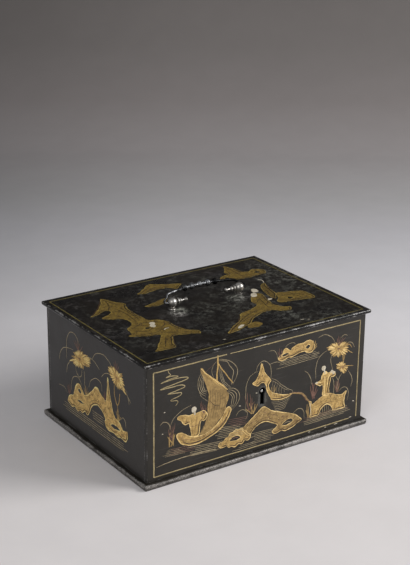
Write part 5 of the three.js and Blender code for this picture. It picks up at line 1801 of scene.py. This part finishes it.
@dataclass
class LidPicture(Drawing):
    """The lid: worn pagodas, rocks and a bridge inside a gold border line."""

    seed: int = 37
    width: float = 287.0
    depth: float = 215.0
    inset: float = 6.2
    line: float = 1.6

    def draw(self) -> None:
        """Draws the whole picture."""
        self.border()
        self.left_pagoda()
        self.roofs()
        self.right_bridge()

    def border(self) -> None:
        """The gold line inside the edge."""
        low = self.inset
        right = self.width - self.inset
        top = self.depth - self.inset
        corners = [(low, low), (right, low), (right, top), (low, top)]
        for a, b in zip(corners, corners[1:] + corners[:1]):
            middle = ((a[0] + b[0]) / 2, (a[1] + b[1]) / 2)
            self.stroke(Tone.FRAME, [a, middle, b], self.line, 1.0, 1.0, 0.08, 20)

    def left_pagoda(self) -> None:
        """The tall pagoda and the rocks at its foot."""
        self.follow("""
        shape gold 0.4: 58.5 186, 62 178, 66.5 168, 73 158, 69.5 154, 67 144, 66 130, 66.5 117, 68 105,
            75 100, 81 95, 83.5 86, 83 76, 86 64, 91 56, 97 49.5, 94 44.5, 86 47.5, 76 51.5, 67 52.5, 61 45,
            56 36, 52 26, 41 26.5, 30 27, 36 34, 45 45, 54 56, 57 63, 49 65, 38 69.5, 27.5 76, 33 78.5,
            35.5 86, 36 93, 43 98.5, 49 106, 50.5 114, 47 121, 39 126, 30 132, 34 137, 42 140, 48 146,
            45 152, 38 150, 30 146, 21 144, 30 150, 40 160, 49 171, 55 181 | 52 84.5, 56 88, 60 86, 57 82.5;
        fill pale: 61 85, 61 89, 63.5 92, 64 96, 67.5 97.5, 70 96, 69.5 92, 67 90, 66.5 86, 63.5 83.5;
        line pale 1.6 0.5 0.2: 68 72, 71 74, 75 74;
        line ink 1: 58 182, 57 170, 52 158, 44 148 | 59 178, 62 166, 66 158 | 56 152, 58 136, 57 118, 55 106
            | 62 150, 62.5 130, 61 110 | 40 92, 50 96, 60 100, 74 96 | 34 74, 44 72, 56 70, 68 74, 80 70 |
            64 66, 72 60, 82 56, 90 50 | 60 56, 52 44, 44 32 | 38 84, 46 80, 52 76;
        line red 1.2: 58 187, 48 172, 36 158, 22 145 | 66.5 140, 66 126, 67 108 | 83 92, 83.5 80, 87 62,
            96 48 | 53 27, 58 38, 64 49 | 50 100, 56 92, 66 84 | 70 80, 76 84, 80 92 | 40 136, 46 132,
            50 126""")

    def roofs(self) -> None:
        """The roofs and the tower at the rear."""
        self.follow("""
        shape gold 0.4: 100 177, 108 183, 118 191, 126 197.5, 136 191, 146 186, 158.5 180, 150 172, 146 168,
            140 176, 130 178, 118 177, 108 174.5;
        line red 1: 104 178, 114 184, 126 192 | 128 192, 138 184, 150 178 | 112 178, 126 183, 142 179;
        shape gold 0.4: 86 139, 96 143, 108 147, 118 149, 120 143, 110 138, 98 135;
        shape gold 0.4: 233.5 202, 236.5 194, 240 184, 241 176, 248 172, 256 176, 263 172, 266 164, 260 158,
            248 157, 236 156, 224 157, 212 160, 203 166, 209 172, 217 176, 224 176, 222 184, 228 192 |
            210 166, 213 169, 217 167, 213 164 | 251 165, 255 169, 260 165, 255 162;
        line red 1.2: 233 198, 234 186, 233 172, 234 160 | 228 190, 226 180, 220 172 | 238 190, 240 178,
            246 170""")

    def right_bridge(self) -> None:
        """The bridge, its posts and the block at the right."""
        self.follow("""
        shape gold 0.4: 118 27, 124 33, 134 41, 146 48, 154 56, 161 66, 172 69, 184 73, 192 79, 193 90,
            199 99, 204 106, 210 108, 216 102, 212 90, 209 78, 208 70, 212 60, 219 54, 213 47, 204 51,
            196 57, 184 57, 172 52, 162 46, 154 38, 144 34, 132 29;
        shape wash: 240 131, 236 121, 233 108, 231 98, 226 90, 221 84, 220 92, 222 104, 226 116, 232 126;
        shape gold 0.4: 233 97, 243 94, 254 90, 261 87, 262 74, 260 63, 248 65, 236 68, 224 69, 217 74,
            222 80, 228 90 | 232 77, 236 80, 240 77, 236 74;
        fill pale 0.2: 202 101, 204 107, 208 111, 212 109, 210 104, 207 100;
        fill pale 0.2: 211 112, 213 119, 217 122, 220 119, 218 112;
        fill pale 0.2: 135 33, 138 37, 143 40, 146 38, 141 34;
        fill pale 0.2: 211 84, 214 88, 218 86, 214 83;
        line pale 1.1 0.5 0.2: 241 146, 243 139, 240 131 | 205 19, 207 17, 209 17.5 | 212 15, 214 13.5 |
            104 17, 107 15.5;
        line ink 1: 124 31, 140 42, 156 54, 172 62, 190 66 | 198 66, 202 80, 206 96 | 196 84, 202 90, 210 92
            | 226 74, 240 71, 256 68 | 230 88, 244 85, 258 82 | 244 92, 247 80, 249 66;
        line red 1.3: 200 74, 206 78, 212 86 | 222 96, 226 104, 228 112 | 150 46, 160 52, 170 54 | 119 26,
            130 36, 142 45, 158 63 | 208 96, 214 90, 222 86 | 240 130, 235 116, 229 98;
        fill gold 0.4: 146 33, 156 39, 164 37, 163 29, 154 26, 146 28""")


@dataclass
class Decoration:
    """The painted pictures on the front, the sides and the lid."""

    tones: tuple[tuple[Tone, Colour, Colour], ...] = (
        (Tone.WASH, (0.39, 0.255, 0.092), (0.24, 0.155, 0.054)),
        (Tone.GOLD, (0.60, 0.395, 0.135), (0.36, 0.225, 0.07)),
        (Tone.LINE, (0.42, 0.34, 0.205), (0.26, 0.205, 0.115)),
        (Tone.FRAME, (0.45, 0.36, 0.185), (0.30, 0.235, 0.115)),
        (Tone.RED, (0.20, 0.105, 0.075), (0.13, 0.065, 0.045)),
        (Tone.INK, (0.11, 0.065, 0.028), (0.06, 0.036, 0.016)),
        (Tone.RIM, (0.90, 0.66, 0.29), (0.70, 0.48, 0.18)),
        (Tone.PALE, (0.66, 0.60, 0.48), (0.50, 0.43, 0.31)))
    brightest: float = 0.95

    def build(self) -> None:
        """Draws each picture and lays it on its face."""
        # Painted light on the sides' paints; the lid's are darker, olive worn gilding with painted shade.
        bright = self.paints("case", (1.0, 1.0, 1.0), 0.5)
        pale = self.paints("side", (1.3, 1.3, 1.25), 0.5)
        worn = self.paints("lid", (0.39, 0.385, 0.185), 0.44)
        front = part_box("front_wall")
        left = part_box("left_wall")
        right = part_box("right_wall")
        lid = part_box("lid_plate")
        rear = -front[0].y
        foot = front[0].z
        along_x, along_y = Vector((1, 0, 0)), Vector((0, 1, 0))
        FrontPicture().build("front", Body.CASE, facing((front[0].x, front[0].y, foot), along_x, UP), bright)
        SidePicture().build("left", Body.CASE, facing((left[0].x, rear, foot), -along_y, UP), pale)
        SidePicture(29).build("right", Body.CASE, facing((right[1].x, rear, foot), -along_y, UP, -1), pale)
        LidPicture().build("lid", Body.LID, facing((lid[0].x, lid[0].y, lid[1].z), along_x, along_y), worn)

    def paints(self, place: str, light: Colour, bare: float) -> dict[Tone, bpy.types.Material]:
        """The paints of one part of the casket.

        Args:
            place: a word for their names.
            light: their colours' multiplier, which paints light on the sides and partly shade on the lid.
            bare: how well they are kept; lower shows more lacquer.

        Returns:
            A material for each tone.
        """
        result = {}
        for tone, colour, deep in self.tones:
            pale = tone is Tone.PALE
            shares = (1.0, 1.0, 1.0) if pale else light
            colour = tuple(min(value, self.brightest) for value in tinted(colour, *shares))
            paint = Paint(f"{place}_{tone.value}", colour, tinted(deep, *shares),
                          bare=bare + 0.1 if pale else bare, glaze=0.1 if pale else 0.5)
            result[tone] = paint.build()
        return result


def main() -> None:
    """Builds the casket and its studio in order."""
    logging.basicConfig(level=logging.INFO, format="%(message)s")
    bpy.context.scene.view_settings.view_transform = "Standard"
    for part in (PhotoCamera, Studio, Castings, Handle, Ironwork, Fasteners, Decoration):
        part().build()


if __name__ == "__main__":
    main()
